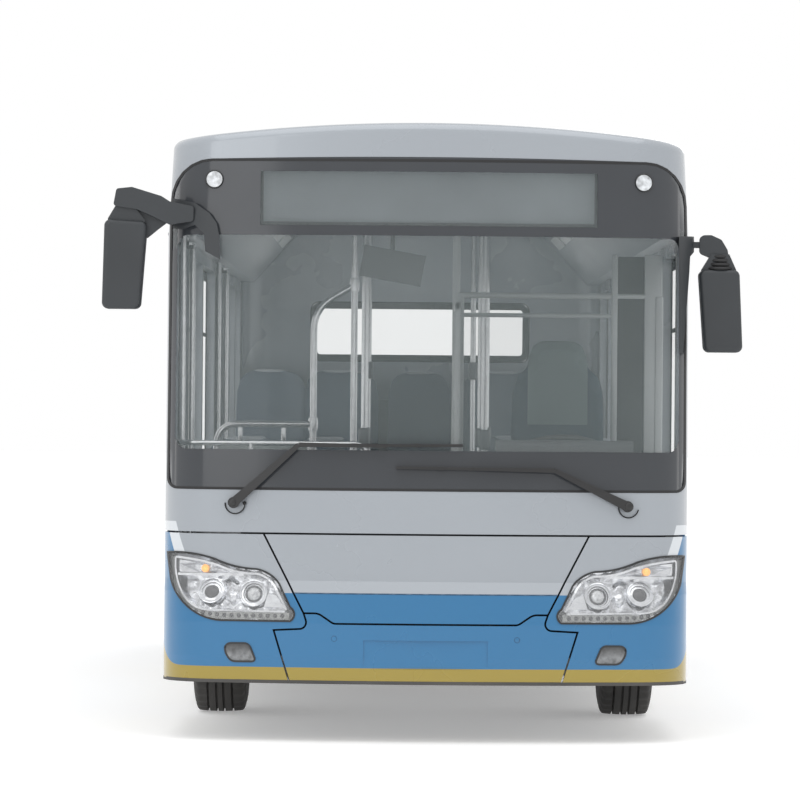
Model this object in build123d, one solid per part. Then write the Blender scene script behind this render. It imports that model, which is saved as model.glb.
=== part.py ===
"""Low-entry city bus, modelled in millimetres.

Frame: +Z up, the ground at Z 0, the front towards -Y and the driver's side towards +X.
The origin is on the ground under the middle of the body. Doors are on the -X side.
"""
from build123d import *
import math
import os

# Overall body
BODY_LENGTH = 10490
BODY_WIDTH = 2500
SKIRT_Z = 287
WAIST_Z = 1186
CANT_Z = 2400
CROWN_Z = 2935
CROWN_RADIUS = 9000
ROOF_EDGE_RADIUS = 48
LEAN_IN = 28
WALL = 50
CEILING_Z = 2730
CEILING_HALF = 820
SOFFIT = 80
NOSE_DEPTH = 595
TAIL_DEPTH = 420
PANEL_GAP = 9
BOND = 0.3

# Front end
FRONT_BOW_RADIUS = 5000
FRONT_CORNER_RADIUS = 300
BUMPER_BULGE = 40
RAKE = 0.085
COWL_Z = 986
PAINT_STEP_Z = 702
CREASE_Z = 760
BUMPER_TOP_Z = 560
BUMPER_WIDEST_Z = 400
BUMPER_TUCK = 14
LID_THICK = 28
GLASS = 10

# Rear end
REAR_CORNER_RADIUS = 200
REAR_BREAK_Z = 1560
REAR_LEAN = 70

# Wheels and axles
FRONT_OVERHANG = 2400
WHEELBASE = 5300
TYRE_RADIUS = 478
TYRE_WIDTH = 276
RIM_RADIUS = 286
FRONT_TRACK = 2078
DUAL_SPACING = 300
REAR_TRACK = 1844
ARCH_RADIUS = 545
STUD_CIRCLE = 335
RUNNING = 0.1

# Floor and frame
FLOOR_Z = 400
FLOOR_THICK = 40
RAISED_Z = 800
RISER_AHEAD = 895
BOX_THICK = 25
BOX_LONG = 560
RAIL_X = 500
RAIL_WIDE = 80
RAIL_TALL = 92
REAR_RAIL_Z = 680

# Doors
LEAF_THICK = 36
LEAF_INSET = 22
ARM_GAP = 6
ARM_TALL = 14
ARM_WIDE = 30
LEAF_FOOT_Z = FLOOR_Z + 2 * ARM_GAP + ARM_TALL
LEAF_HEAD_Z = CANT_Z - 2 * ARM_GAP - ARM_TALL
LEAF_JAMB_GAP = 6
LEAF_MEET_GAP = 5
STILE = 48
POST_RADIUS = 15
POST_OFFSET = 49
POST_BACK = 24
ARM_LEAD = 31
PIN_RADIUS = 10
OPEN_LEAF_ROOM = 130
MID_DOOR_AHEAD = 2275
MID_DOOR_WIDE = 1240

# Places worked out from the sizes above
HALF = BODY_WIDTH / 2
INNER = HALF - WALL
Y_FRONT = -BODY_LENGTH / 2
Y_REAR = BODY_LENGTH / 2
Y_NOSE = Y_FRONT + NOSE_DEPTH
Y_TAIL = Y_REAR - TAIL_DEPTH
Y_FA = Y_FRONT + FRONT_OVERHANG
Y_RA = Y_FA + WHEELBASE
RISER_Y = Y_RA - RISER_AHEAD
BOX_FRONT_Y = Y_FA - BOX_LONG - BOX_THICK
AXLE_Z = TYRE_RADIUS
PANEL_BACK = BUMPER_BULGE
LOFT_TOP_Z = CROWN_Z + 20
NOSE_END = Y_NOSE + 300
FAR = 6 * BODY_WIDTH

# Columns: height, how far the front surface stands behind the bumper's face
FRONT_PROFILE = [
    (SKIRT_Z, BUMPER_TUCK),
    (BUMPER_WIDEST_Z, 0),
    (BUMPER_TOP_Z, 0),
    (PAINT_STEP_Z, BUMPER_BULGE / 5),
    (CREASE_Z, PANEL_BACK),
    (WAIST_Z, PANEL_BACK),
    (CANT_Z, PANEL_BACK + RAKE * (CANT_Z - WAIST_Z)),
    (LOFT_TOP_Z, PANEL_BACK + RAKE * (LOFT_TOP_Z - WAIST_Z)),
]

# Columns: height, how far the rear surface stands in front of the bumper's face
REAR_PROFILE = [
    (SKIRT_Z, 0),
    (REAR_BREAK_Z, 0),
    (CANT_Z, REAR_LEAN * (CANT_Z - REAR_BREAK_Z) / (LOFT_TOP_Z - REAR_BREAK_Z)),
    (LOFT_TOP_Z, REAR_LEAN),
]

# Doorways, columns: name, front jamb, width
DOORWAYS = [
    ("front_door", Y_NOSE, BOX_FRONT_Y - OPEN_LEAF_ROOM - Y_NOSE),
    ("mid_door", Y_RA - MID_DOOR_AHEAD, MID_DOOR_WIDE),
]

WINDOW_FOOT_Z = 1180
WINDOW_HEAD_Z = 2340
PILLAR = 90
JAMB_POST = 70
WINDOW_CORNER = 60

REAR_WINDOW = (1480, 1873, 2279)
LID_HALF = 880
LID_FOOT_Z = 470
LID_HEAD_Z = 1500
LID_HINGE_RADIUS = 11
REAR_BUMPER_TOP_Z = 440


def box(x0, x1, y0, y1, z0, z1):
    """A block between two corners."""
    return Pos((x0 + x1) / 2, (y0 + y1) / 2, (z0 + z1) / 2) * Box(
        abs(x1 - x0), abs(y1 - y0), abs(z1 - z0)
    )


def front_prism(face, y0, y1):
    """A face drawn in front view (X, Z), pushed along Y from y0 to y1."""
    placed = Plane((0, y0, 0), x_dir=(1, 0, 0), z_dir=(0, -1, 0)) * face
    return extrude(placed, y1 - y0, dir=(0, 1, 0))


def side_prism(face, x0, x1):
    """A face drawn in side view (Y, Z), pushed along X from x0 to x1."""
    placed = Plane((x0, 0, 0), x_dir=(0, 1, 0), z_dir=(1, 0, 0)) * face
    return extrude(placed, x1 - x0, dir=(1, 0, 0))


def spaced(start, end, count):
    """Places from start to end, dividing the run into equal bays."""
    return [start + (end - start) * n / count for n in range(count + 1)]


def outline(points):
    """A closed face through the points, in order."""
    return make_face(Polyline(*points, close=True))


def mirrored(shape):
    """The same shape on the other side of the bus."""
    return shape.mirror(Plane.YZ)


def both_sides(shape):
    """The shape and its mirror image, as separate solids of one compound."""
    return Compound(children=[*shape.solids(), *mirrored(shape).solids()])


def rod(start, end, radius):
    """A round bar between two points."""
    a, b = Vector(*start), Vector(*end)
    return extrude(Plane(a, z_dir=b - a) * Circle(radius), (b - a).length)


def half_width(z):
    """Half the body's width at a height: upright to the cant rail, then leaning in."""
    lean = max(0, z - CANT_Z) / (LOFT_TOP_Z - CANT_Z)
    return HALF - LEAN_IN * lean


def nose_outline(z, back, inset):
    """The front end in plan at one height: side, corner arc, bowed front, corner arc, side."""
    half = half_width(z) - inset
    corner = FRONT_CORNER_RADIUS - inset
    bow = FRONT_BOW_RADIUS - inset
    front = Y_FRONT + back + inset
    spread = half - corner
    corner_y = front + bow - math.sqrt((bow - corner) ** 2 - spread**2)
    turn = math.atan2(spread, front + bow - corner_y)
    join = (bow * math.sin(turn), front + bow - bow * math.cos(turn))
    middle = (turn + math.pi / 2) / 2
    knee = (spread + corner * math.sin(middle), corner_y - corner * math.cos(middle))
    left = [(-x, y) for x, y in (join, knee)]
    edges = [
        Line((-half, NOSE_END), (-half, corner_y)),
        ThreePointArc((-half, corner_y), left[1], left[0]),
        ThreePointArc(left[0], (0, front), join),
        ThreePointArc(join, knee, (half, corner_y)),
        Line((half, corner_y), (half, NOSE_END)),
        Line((half, NOSE_END), (-half, NOSE_END)),
    ]
    return Pos(0, 0, z) * make_face(edges)


def tail_outline(z, ahead, inset):
    """The rear end in plan at one height: flat back with rounded corners."""
    half = half_width(z) - inset
    corner = REAR_CORNER_RADIUS - inset
    back = Y_REAR - ahead - inset
    bend = corner * math.sqrt(0.5)
    knee = (half - corner + bend, back - corner + bend)
    edges = [
        Line((half, Y_TAIL), (half, back - corner)),
        ThreePointArc((half, back - corner), knee, (half - corner, back)),
        Line((half - corner, back), (corner - half, back)),
        ThreePointArc((corner - half, back), (-knee[0], knee[1]), (-half, back - corner)),
        Line((-half, back - corner), (-half, Y_TAIL)),
        Line((-half, Y_TAIL), (half, Y_TAIL)),
    ]
    return Pos(0, 0, z) * make_face(edges)


def nose_block(inset):
    """The solid front end, its surface set in by a distance, without the roof's crown."""
    return loft([nose_outline(z, back, inset) for z, back in FRONT_PROFILE], ruled=True)


def tail_block(inset):
    """The solid rear end, its surface set in by a distance, without the roof's crown."""
    return loft([tail_outline(z, ahead, inset) for z, ahead in REAR_PROFILE], ruled=True)


def crown_prism(y0, y1):
    """Everything under the arched roof line."""
    wide = BODY_WIDTH
    sag = CROWN_RADIUS - math.sqrt(CROWN_RADIUS**2 - wide**2)
    edges = [
        Line((-wide, 0), (wide, 0)),
        Line((wide, 0), (wide, CROWN_Z - sag)),
        ThreePointArc((wide, CROWN_Z - sag), (0, CROWN_Z), (-wide, CROWN_Z - sag)),
        Line((-wide, CROWN_Z - sag), (-wide, 0)),
    ]
    return front_prism(make_face(edges), y0, y1)


def cabin_prism(y0, y1):
    """The passenger space in cross-section: upright walls, a soffit, sloping ducts and a ceiling."""
    right = [
        (INNER, 0),
        (INNER, CANT_Z),
        (INNER - SOFFIT, CANT_Z),
        (CEILING_HALF, CEILING_Z),
    ]
    left = [(-x, z) for x, z in reversed(right)]
    return front_prism(outline(right + left), y0, y1)


def round_roof_edges(block, y_cut):
    """Rounds the edge between the crown and the walls, apart from where the block is cut off."""
    rim = [
        e
        for e in block.edges()
        if e.center().Z > CROWN_Z - 160 and abs(e.center().Y - y_cut) > 1
    ]
    return fillet(rim, ROOF_EDGE_RADIUS)


def front_y(x, z, inset=0):
    """Y of the front surface at a place across the bus and a height."""
    rows = FRONT_PROFILE
    for (z0, b0), (z1, b1) in zip(rows, rows[1:]):
        if z <= z1 or z1 == LOFT_TOP_Z:
            back = b0 + (b1 - b0) * (z - z0) / (z1 - z0)
            break
    corner = FRONT_CORNER_RADIUS - inset
    bow = FRONT_BOW_RADIUS - inset
    front = Y_FRONT + back + inset
    spread = half_width(z) - inset - corner
    corner_y = front + bow - math.sqrt((bow - corner) ** 2 - spread**2)
    turn = math.atan2(spread, front + bow - corner_y)
    if abs(x) <= bow * math.sin(turn):
        return front + bow - math.sqrt(bow**2 - x**2)
    return corner_y - math.sqrt(max(0, corner**2 - (abs(x) - spread) ** 2))


NOSE = nose_block(0)
NOSE_SHELL = NOSE - nose_block(WALL)


# Front mask, windscreen and lower front

SCREEN_FOOT_Z = 1192
SCREEN_HEAD_Z = 2770
SCREEN_HALF = 1234
SCREEN_CROWN = 16
SCREEN_HEAD_ROUND = 200
SCREEN_FOOT_ROUND = 45
SCREEN_WRAP_Y = Y_FRONT + 540


def screen_face(shrink=0):
    """The windscreen's outline in front view, with a crowned head and rounded corners."""
    half = SCREEN_HALF - shrink
    foot = SCREEN_FOOT_Z + shrink
    head = SCREEN_HEAD_Z - shrink
    face = make_face(
        [
            Line((-half, foot), (half, foot)),
            Line((half, foot), (half, head - SCREEN_CROWN)),
            ThreePointArc((half, head - SCREEN_CROWN), (0, head), (-half, head - SCREEN_CROWN)),
            Line((-half, head - SCREEN_CROWN), (-half, foot)),
        ]
    )
    corners = face.vertices().sort_by(Axis.Y)
    face = fillet(corners[-2:], SCREEN_HEAD_ROUND - shrink)
    return fillet(face.vertices().sort_by(Axis.Y)[:2], SCREEN_FOOT_ROUND - shrink)


def front_mask():
    """Moulded surround of the windscreen: cowl, corner pillars and the front of the roof."""
    block = NOSE & crown_prism(Y_FRONT - 100, NOSE_END)
    block = round_roof_edges(block, NOSE_END)
    cabin = nose_block(WALL) & cabin_prism(Y_FRONT, NOSE_END)
    mask = (block - cabin) & box(-HALF, HALF, Y_FRONT - 1, Y_NOSE, COWL_Z, CROWN_Z)
    return mask - (NOSE_SHELL & front_prism(screen_face(), Y_FRONT - 1, SCREEN_WRAP_Y))


def windscreen():
    """One curved pane that wraps round both corners."""
    skin = NOSE - nose_block(GLASS)
    return skin & front_prism(screen_face(BOND), Y_FRONT - 1, SCREEN_WRAP_Y - BOND)


# Edges of the front panels on one side, columns: x, z
SLANT_HEAD = (772, COWL_Z)
SLANT_FOOT = (576, 608)
STEP_OUT = (506, 608)
STEP_IN = (435, BUMPER_TOP_Z)
HOOK_OUT = (552, 536)
HOOK_END = (717, 527)
BUMPER_FOOT = (643, SKIRT_Z)
# Corners of those edges that are rounded, columns: corner, radius
ROUNDED_CORNERS = [(STEP_OUT, 60), (STEP_IN, 40), (HOOK_OUT, 32)]


def symmetric(points):
    """A closed outline from its right half, listed from the top down."""
    return outline(points + [(-x, z) for x, z in reversed(points)])


def panel_face(points):
    """A front panel's face from its right half, with the shared corners rounded."""
    face = symmetric(points)
    for (x, z), radius in ROUNDED_CORNERS:
        if (x, z) in points:
            near = [v for v in face.vertices() if abs(abs(v.X) - x) < 1 and abs(v.Y - z) < 1]
            face = fillet(near, radius)
    return face


def inside(face, gap=PANEL_GAP / 2):
    """A face drawn in by half a panel gap."""
    return offset(face, -gap, kind=Kind.INTERSECTION)


CENTRE_FACE = panel_face([SLANT_HEAD, SLANT_FOOT, HOOK_OUT, HOOK_END, BUMPER_FOOT])
LID_FACE = panel_face([SLANT_HEAD, SLANT_FOOT, STEP_OUT, STEP_IN])
BUMPER_FACE = panel_face([STEP_IN, STEP_OUT, SLANT_FOOT, HOOK_OUT, HOOK_END, BUMPER_FOOT])


def lamp_face(grow=0):
    """The right-hand headlamp in front view: swept brow, pointed inner end, rounded outer foot."""
    face = make_face(
        [
            ThreePointArc((1233, 884), (1130, 884), (1000, 858)),
            ThreePointArc((1000, 858), (890, 822), (800, 812)),
            ThreePointArc((800, 812), (742, 790), (693, 745)),
            Line((693, 745), (640, 635)),
            ThreePointArc((640, 635), (622, 592), (640, 570)),
            Line((640, 570), (940, 570)),
            ThreePointArc((940, 570), (1122, 626), (1214, 755)),
            Line((1214, 755), (1233, 884)),
        ]
    )
    return offset(face, grow, kind=Kind.INTERSECTION) if grow else face


def fog_face():
    """The right-hand fog lamp in front view: a leaning rounded block."""
    face = outline([(834, 463), (942, 462), (950, 426), (919, 376), (799, 377)])
    return fillet(face.vertices(), 18)


LAMP_DEPTH = 40
LAMP_PROUD = 4
LENS = 5
PLATE_WIDE = 586
PLATE_TALL = 136
PLATE_Z = 416
PLATE_SINK = 14


def front_corners():
    """Bumper corners with the recesses that hold the head and fog lamps."""
    lower = NOSE_SHELL & box(
        -HALF, HALF, Y_FRONT - 1, Y_NOSE, SKIRT_Z, COWL_Z - PANEL_GAP
    )
    corner = lower & box(0, HALF, Y_FRONT - 1, Y_NOSE, 0, CROWN_Z)
    corner -= front_prism(offset(CENTRE_FACE, PANEL_GAP / 2, kind=Kind.INTERSECTION), Y_FRONT - 1, Y_NOSE)
    recess = NOSE - nose_block(LAMP_DEPTH)
    corner -= recess & front_prism(lamp_face(), Y_FRONT - 1, Y_NOSE)
    corner -= recess & front_prism(fog_face(), Y_FRONT - 1, Y_NOSE)
    return both_sides(corner)


def service_panel():
    """Centre panel between the lamps, over the wiper motor and the front frame."""
    skin = NOSE - nose_block(LID_THICK)
    face = inside(LID_FACE) & Pos(0, 0) * Rectangle(FAR, 2 * (COWL_Z - PANEL_GAP))
    return skin & front_prism(face, Y_FRONT - 1, Y_NOSE)


def front_bumper():
    """Bumper centre with a flat pad for a number plate."""
    bumper = NOSE_SHELL & front_prism(inside(BUMPER_FACE), Y_FRONT - 1, Y_NOSE)
    bumper &= box(-HALF, HALF, Y_FRONT - 1, Y_NOSE, SKIRT_Z, COWL_Z)
    pad = box(
        -PLATE_WIDE / 2, PLATE_WIDE / 2, Y_FRONT - 1, Y_FRONT + PLATE_SINK,
        PLATE_Z - PLATE_TALL / 2, PLATE_Z + PLATE_TALL / 2,
    )
    return bumper - pad


# Reflector bowls of a headlamp, columns: x, z, bowl radius, depth
BOWLS = [
    (809, 702, 62, 26),
    (1010, 706, 56, 26),
]


def headlamp_housings():
    """Lamp bodies sunk in the corners, each with two round bowls under its lens."""
    tray = nose_block(LENS) - nose_block(LAMP_DEPTH)
    lamp = tray & front_prism(lamp_face(-BOND), Y_FRONT - 1, Y_NOSE)
    for x, z, radius, depth in BOWLS:
        floor = front_y(x, z) + LENS + depth
        lamp -= Pos(x, floor, z) * Rot(90, 0, 0) * Cylinder(
            radius, 4 * depth, align=(Align.CENTER, Align.CENTER, Align.MIN)
        )
    return both_sides(lamp)


def headlamp_lenses():
    """Clear covers that follow the corner's curve and stand a little proud."""
    skin = nose_block(-LAMP_PROUD) - nose_block(LENS)
    return both_sides(skin & front_prism(lamp_face(-BOND), Y_FRONT - 50, Y_NOSE))


MARKER = (1022, 2660)
MARKER_RADIUS = 38
MARKER_PROUD = 14


def small_lamps():
    """Fog lamps in the bumper corners and round marker lamps at the head of the screen."""
    skin = nose_block(-LAMP_PROUD) - nose_block(LAMP_DEPTH)
    fog = skin & front_prism(offset(fog_face(), -BOND), Y_FRONT - 50, Y_NOSE)
    x, z = MARKER
    disc = nose_block(-MARKER_PROUD) - nose_block(0)
    marker = disc & front_prism(Pos(x, z) * Circle(MARKER_RADIUS), Y_FRONT - 50, Y_NOSE)
    return Compound(children=[*both_sides(fog).solids(), *both_sides(marker).solids()])


SIGN_HALF = 812
SIGN_FOOT_Z = 2440
SIGN_DEPTH = 110
SIGN_BEHIND = 60


def sign_y():
    """Front of the destination sign, behind the foot of its window in the screen."""
    return front_y(SIGN_HALF, CEILING_Z, GLASS) + SIGN_BEHIND


def destination_sign():
    """Display case hung from the ceiling behind the head of the windscreen."""
    y = sign_y()
    case = box(-SIGN_HALF, SIGN_HALF, y, y + SIGN_DEPTH, SIGN_FOOT_Z, CEILING_Z)
    rim = 22
    window = box(
        -SIGN_HALF + rim, SIGN_HALF - rim, y, y + 12, SIGN_FOOT_Z + rim, CEILING_Z - rim
    )
    return case - window


# Side walls, glazing and roof


def doorway_span(index):
    """Front and rear jamb of a doorway."""
    _, jamb, width = DOORWAYS[index]
    return jamb, jamb + width


# Pillar centres along each side, front to rear
LEFT_PILLARS = spaced(Y_NOSE + PILLAR / 2, Y_TAIL - PILLAR / 2, 7)
RIGHT_MID_PILLARS = spaced(doorway_span(0)[1] + JAMB_POST, doorway_span(1)[0] - JAMB_POST, 2)
RIGHT_REAR_PILLARS = spaced(doorway_span(1)[1] + JAMB_POST, Y_TAIL - PILLAR / 2, 3)


def window_face(y0, y1):
    """A side window's opening in side view."""
    wide, tall = y1 - y0, WINDOW_HEAD_Z - WINDOW_FOOT_Z
    middle = Pos((y0 + y1) / 2, (WINDOW_FOOT_Z + WINDOW_HEAD_Z) / 2)
    return middle * RectangleRounded(wide, tall, WINDOW_CORNER)


def panes(pillars, grow=0):
    """One face for each window between neighbouring pillars."""
    return [
        window_face(a + PILLAR / 2 - grow, b - PILLAR / 2 + grow)
        for a, b in zip(pillars, pillars[1:])
    ]


def wall(x0, x1, y0, y1, pillars, axle_y):
    """A stretch of side wall with its windows and wheel arch cut out."""
    made = box(x0, x1, y0, y1, SKIRT_Z, CANT_Z)
    for face in panes(pillars):
        made -= side_prism(face, x0 - 1, x1 + 1)
    for y in axle_y:
        made -= side_prism(Pos(y, AXLE_Z) * Circle(ARCH_RADIUS), x0 - 1, x1 + 1)
    return made


def side_wall_left():
    """Driver's side, in one run from the nose to the tail."""
    return wall(INNER, HALF, Y_NOSE, Y_TAIL, LEFT_PILLARS, [Y_FA, Y_RA])


def side_wall_right_mid():
    """Wall between the doorways, with the sill of the front one."""
    jamb = doorway_span(0)[1]
    made = wall(-HALF, -INNER, jamb, doorway_span(1)[0], RIGHT_MID_PILLARS, [Y_FA])
    return made + box(-HALF, -INNER, Y_NOSE, jamb, SKIRT_Z, FLOOR_Z)


def side_wall_right_rear():
    """Wall behind the middle doorway, with that doorway's sill."""
    front, jamb = doorway_span(1)
    made = wall(-HALF, -INNER, jamb, Y_TAIL, RIGHT_REAR_PILLARS, [Y_RA])
    return made + box(-HALF, -INNER, front, jamb, SKIRT_Z, FLOOR_Z)


PANE = 6
PANE_SET_IN = 3


def window_panes():
    """Bonded side panes and the rear pane."""
    made = []
    for pillars, side in (
        (LEFT_PILLARS, 1), (RIGHT_MID_PILLARS, -1), (RIGHT_REAR_PILLARS, -1),
    ):
        outer = side * (HALF - PANE_SET_IN)
        for face in panes(pillars, -BOND):
            made.append(side_prism(face, outer, outer - side * PANE))
    skin = tail_block(PANE_SET_IN) - tail_block(PANE_SET_IN + PANE)
    made.append(skin & front_prism(rear_window_face(BOND), Y_TAIL, Y_REAR + 1))
    return Compound(children=[s for shape in made for s in shape.solids()])


HATCH_WIDE = 900
HATCH_LONG = 700
HATCH_PROUD = 55
HATCH_Y = [Y_FA + 445, Y_RA + 845]
AC_LONG = 2700
AC_WIDE = 1720
AC_TOP_Z = 3132
FAN_RADIUS = 330
FAN_RING = 28
FAN_TALL = 18
FAN_REACH = 560
AC_Y = (Y_FA + Y_RA) / 2 + 495


def hatch_opening(y, shrink=0):
    """The block cut through the roof for an escape hatch."""
    return box(
        -HATCH_WIDE / 2 + shrink, HATCH_WIDE / 2 - shrink,
        y - HATCH_LONG / 2 + shrink, y + HATCH_LONG / 2 - shrink,
        CEILING_Z - 1, CROWN_Z + HATCH_PROUD,
    )


def roof():
    """Arched roof with the ceiling and side ducts, cut for the escape hatches."""
    right = [(HALF, SKIRT_Z), (HALF, CANT_Z), (HALF - LEAN_IN, LOFT_TOP_Z)]
    block = front_prism(symmetric(list(reversed(right))), Y_NOSE, Y_TAIL)
    block &= crown_prism(Y_NOSE, Y_TAIL)
    rim = [e for e in block.edges().filter_by(Axis.Y) if e.center().Z > CROWN_Z - 160]
    block = fillet(rim, ROOF_EDGE_RADIUS)
    block &= box(-HALF, HALF, Y_NOSE, Y_TAIL, CANT_Z, CROWN_Z)
    block -= cabin_prism(Y_NOSE, Y_TAIL)
    for y in HATCH_Y:
        block -= hatch_opening(y)
    return block


def roof_hatches():
    """Escape hatch lids seated in the roof."""
    made = []
    for y in HATCH_Y:
        lid = hatch_opening(y, BOND) & box(
            -HATCH_WIDE, HATCH_WIDE, y - HATCH_LONG, y + HATCH_LONG, CEILING_Z, FAR
        )
        top = lid.edges().group_by(Axis.Z)[-1]
        lid = fillet(top, 30)
        made.append(lid)
    return Compound(children=[s for shape in made for s in shape.solids()])


def roof_unit():
    """Low air-conditioning cover on the roof's middle, with two raised fan collars."""
    slope = 260
    shape = side_prism(
        outline(
            [
                (AC_Y - AC_LONG / 2, CROWN_Z - 80),
                (AC_Y - AC_LONG / 2 + slope, AC_TOP_Z),
                (AC_Y + AC_LONG / 2 - slope, AC_TOP_Z),
                (AC_Y + AC_LONG / 2, CROWN_Z - 80),
            ]
        ),
        -AC_WIDE / 2,
        AC_WIDE / 2,
    )
    rim = shape.edges().group_by(Axis.Z)[-1]
    shape = fillet(rim, 60)
    for y in (AC_Y - FAN_REACH, AC_Y + FAN_REACH):
        collar = Cylinder(FAN_RADIUS, 2 * FAN_TALL) - Cylinder(FAN_RADIUS - FAN_RING, 2 * FAN_TALL)
        shape += Pos(0, y, AC_TOP_Z) * collar
    return shape - crown_prism(Y_NOSE, Y_TAIL)


# Rear end


def rear_window_face(shrink=0):
    """The rear pane's opening in front view."""
    wide, foot, head = REAR_WINDOW
    return Pos(0, (foot + head) / 2) * RectangleRounded(
        wide - 2 * shrink, head - foot - 2 * shrink, WINDOW_CORNER
    )


TAIL_LAMP = (1085, 780, 1420)
TAIL_LAMP_WIDE = 150
TAIL_LAMP_PROUD = 6


def tail_lamp_face(shrink=0):
    """Upright lamp cluster at a rear corner, in front view."""
    x, foot, head = TAIL_LAMP
    return Pos(x, (foot + head) / 2) * RectangleRounded(
        TAIL_LAMP_WIDE - 2 * shrink, head - foot - 2 * shrink, 30
    )


def rear_mask():
    """Rear wall with its corners, rear window, lamp recesses and the bay's opening."""
    block = tail_block(0) & crown_prism(Y_TAIL, Y_REAR + 100)
    block = round_roof_edges(block, Y_TAIL)
    cabin = tail_block(WALL) & cabin_prism(Y_TAIL, Y_REAR)
    mask = (block - cabin) & box(
        -HALF, HALF, Y_TAIL, Y_REAR + 1, REAR_BUMPER_TOP_Z + PANEL_GAP, CROWN_Z
    )
    mask -= box(
        -LID_HALF, LID_HALF, Y_REAR - WALL - 1, Y_REAR + 1, LID_FOOT_Z, LID_HEAD_Z
    )
    mask -= front_prism(rear_window_face(), Y_REAR - 2 * WALL - REAR_LEAN, Y_REAR + 1)
    recess = tail_block(0) - tail_block(LAMP_DEPTH / 2)
    cut = recess & front_prism(tail_lamp_face(), Y_TAIL, Y_REAR + 1)
    mask = mask - cut - mirrored(cut)
    for x in HINGE_X:
        reach = HINGE_LONG / 2 + 3
        mask -= box(
            x - reach, x + reach, Y_REAR - WALL, Y_REAR + 1, LID_HEAD_Z - 1,
            HINGE_Z + LID_HINGE_RADIUS + PANEL_GAP,
        )
    return mask + rear_hinges()


def tail_lamps():
    """Lamp clusters seated in the rear corners."""
    skin = tail_block(-TAIL_LAMP_PROUD) - tail_block(LAMP_DEPTH / 2)
    return both_sides(skin & front_prism(tail_lamp_face(BOND), Y_TAIL, Y_REAR + 50))


def rear_bumper():
    """Rear bumper moulding below the bay's lid."""
    shell = tail_block(0) - tail_block(WALL)
    return shell & box(-HALF, HALF, Y_TAIL, Y_REAR + 1, SKIRT_Z, REAR_BUMPER_TOP_Z)


# Hinge of the rear lid: an axis just behind the skin, at the lid's head
HINGE_Y = Y_REAR + 2
HINGE_Z = LID_HEAD_Z - 4
HINGE_X = [-600, 600]
HINGE_LONG = 120
LID_GAP = 8
LID_LEAF = 30


def rear_lid():
    """Bay lid hung on two knuckles at its head, with a row of cooling slots."""
    lid = box(
        -LID_HALF + LID_GAP, LID_HALF - LID_GAP, Y_REAR - LID_LEAF, Y_REAR,
        LID_FOOT_Z + LID_GAP, LID_HEAD_Z - 2 * LID_GAP - LID_HINGE_RADIUS,
    )
    for x in HINGE_X:
        leaf = box(
            x - HINGE_LONG / 2, x + HINGE_LONG / 2, Y_REAR - 2, Y_REAR + 4,
            HINGE_Z - 90, HINGE_Z,
        )
        barrel = rod(
            (x - HINGE_LONG / 2, HINGE_Y, HINGE_Z),
            (x + HINGE_LONG / 2, HINGE_Y, HINGE_Z),
            LID_HINGE_RADIUS,
        )
        bore = rod(
            (x - HINGE_LONG, HINGE_Y, HINGE_Z), (x + HINGE_LONG, HINGE_Y, HINGE_Z),
            LID_HINGE_RADIUS / 2 + RUNNING,
        )
        lid += leaf + barrel
        lid -= bore
    slots = 9
    pitch = 38
    for row in range(slots):
        z = LID_FOOT_Z + 160 + row * pitch
        lid -= box(-620, 620, Y_REAR - LID_LEAF - 1, Y_REAR + 1, z, z + 16)
    return lid


def rear_hinges():
    """Fixed halves of the lid's hinges: pins held between ears on the rear wall."""
    made = []
    ear = 10
    for x in HINGE_X:
        pin = rod(
            (x - HINGE_LONG / 2 - 2 * ear, HINGE_Y, HINGE_Z),
            (x + HINGE_LONG / 2 + 2 * ear, HINGE_Y, HINGE_Z),
            LID_HINGE_RADIUS / 2,
        )
        for side in (-1, 1):
            x0 = x + side * (HINGE_LONG / 2 + ear / 2)
            pin += box(
                x0, x0 + side * ear, Y_REAR, Y_REAR + LID_HINGE_RADIUS + 4,
                HINGE_Z - LID_HINGE_RADIUS, LID_HEAD_Z + 60,
            )
        made.append(pin)
    return made[0] + made[1]


# Floor and underframe

BOX_INNER_X = 570
BOX_HEAD_Z = 1080
STEP_HALF = 330
STEP_LONG = 300
SHELF_Z = 650
SHELF_THICK = 20


def well(axle_y, grow=0):
    """The space of a wheel well under the floor on the +X side, open below."""
    return box(
        BOX_INNER_X - grow, INNER, axle_y - BOX_LONG - grow, axle_y + BOX_LONG + grow,
        0, BOX_HEAD_Z + grow,
    )


def floor_deck():
    """Low floor, riser with a step in the gangway, raised rear floor, cut for the wheel wells."""
    front = Y_NOSE - 140
    low = box(-INNER, INNER, front, RISER_Y, FLOOR_Z - FLOOR_THICK, FLOOR_Z)
    riser = box(-INNER, INNER, RISER_Y, RISER_Y + FLOOR_THICK, FLOOR_Z - FLOOR_THICK, RAISED_Z)
    high = box(-INNER, INNER, RISER_Y, Y_TAIL, RAISED_Z - FLOOR_THICK, RAISED_Z)
    step = box(
        -STEP_HALF, STEP_HALF, RISER_Y - STEP_LONG, RISER_Y,
        FLOOR_Z, (FLOOR_Z + RAISED_Z) / 2,
    )
    deck = low + riser + high + step
    for y in (Y_FA, Y_RA):
        hole = well(y, BOX_THICK)
        deck = deck - hole - mirrored(hole)
    return deck


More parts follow.
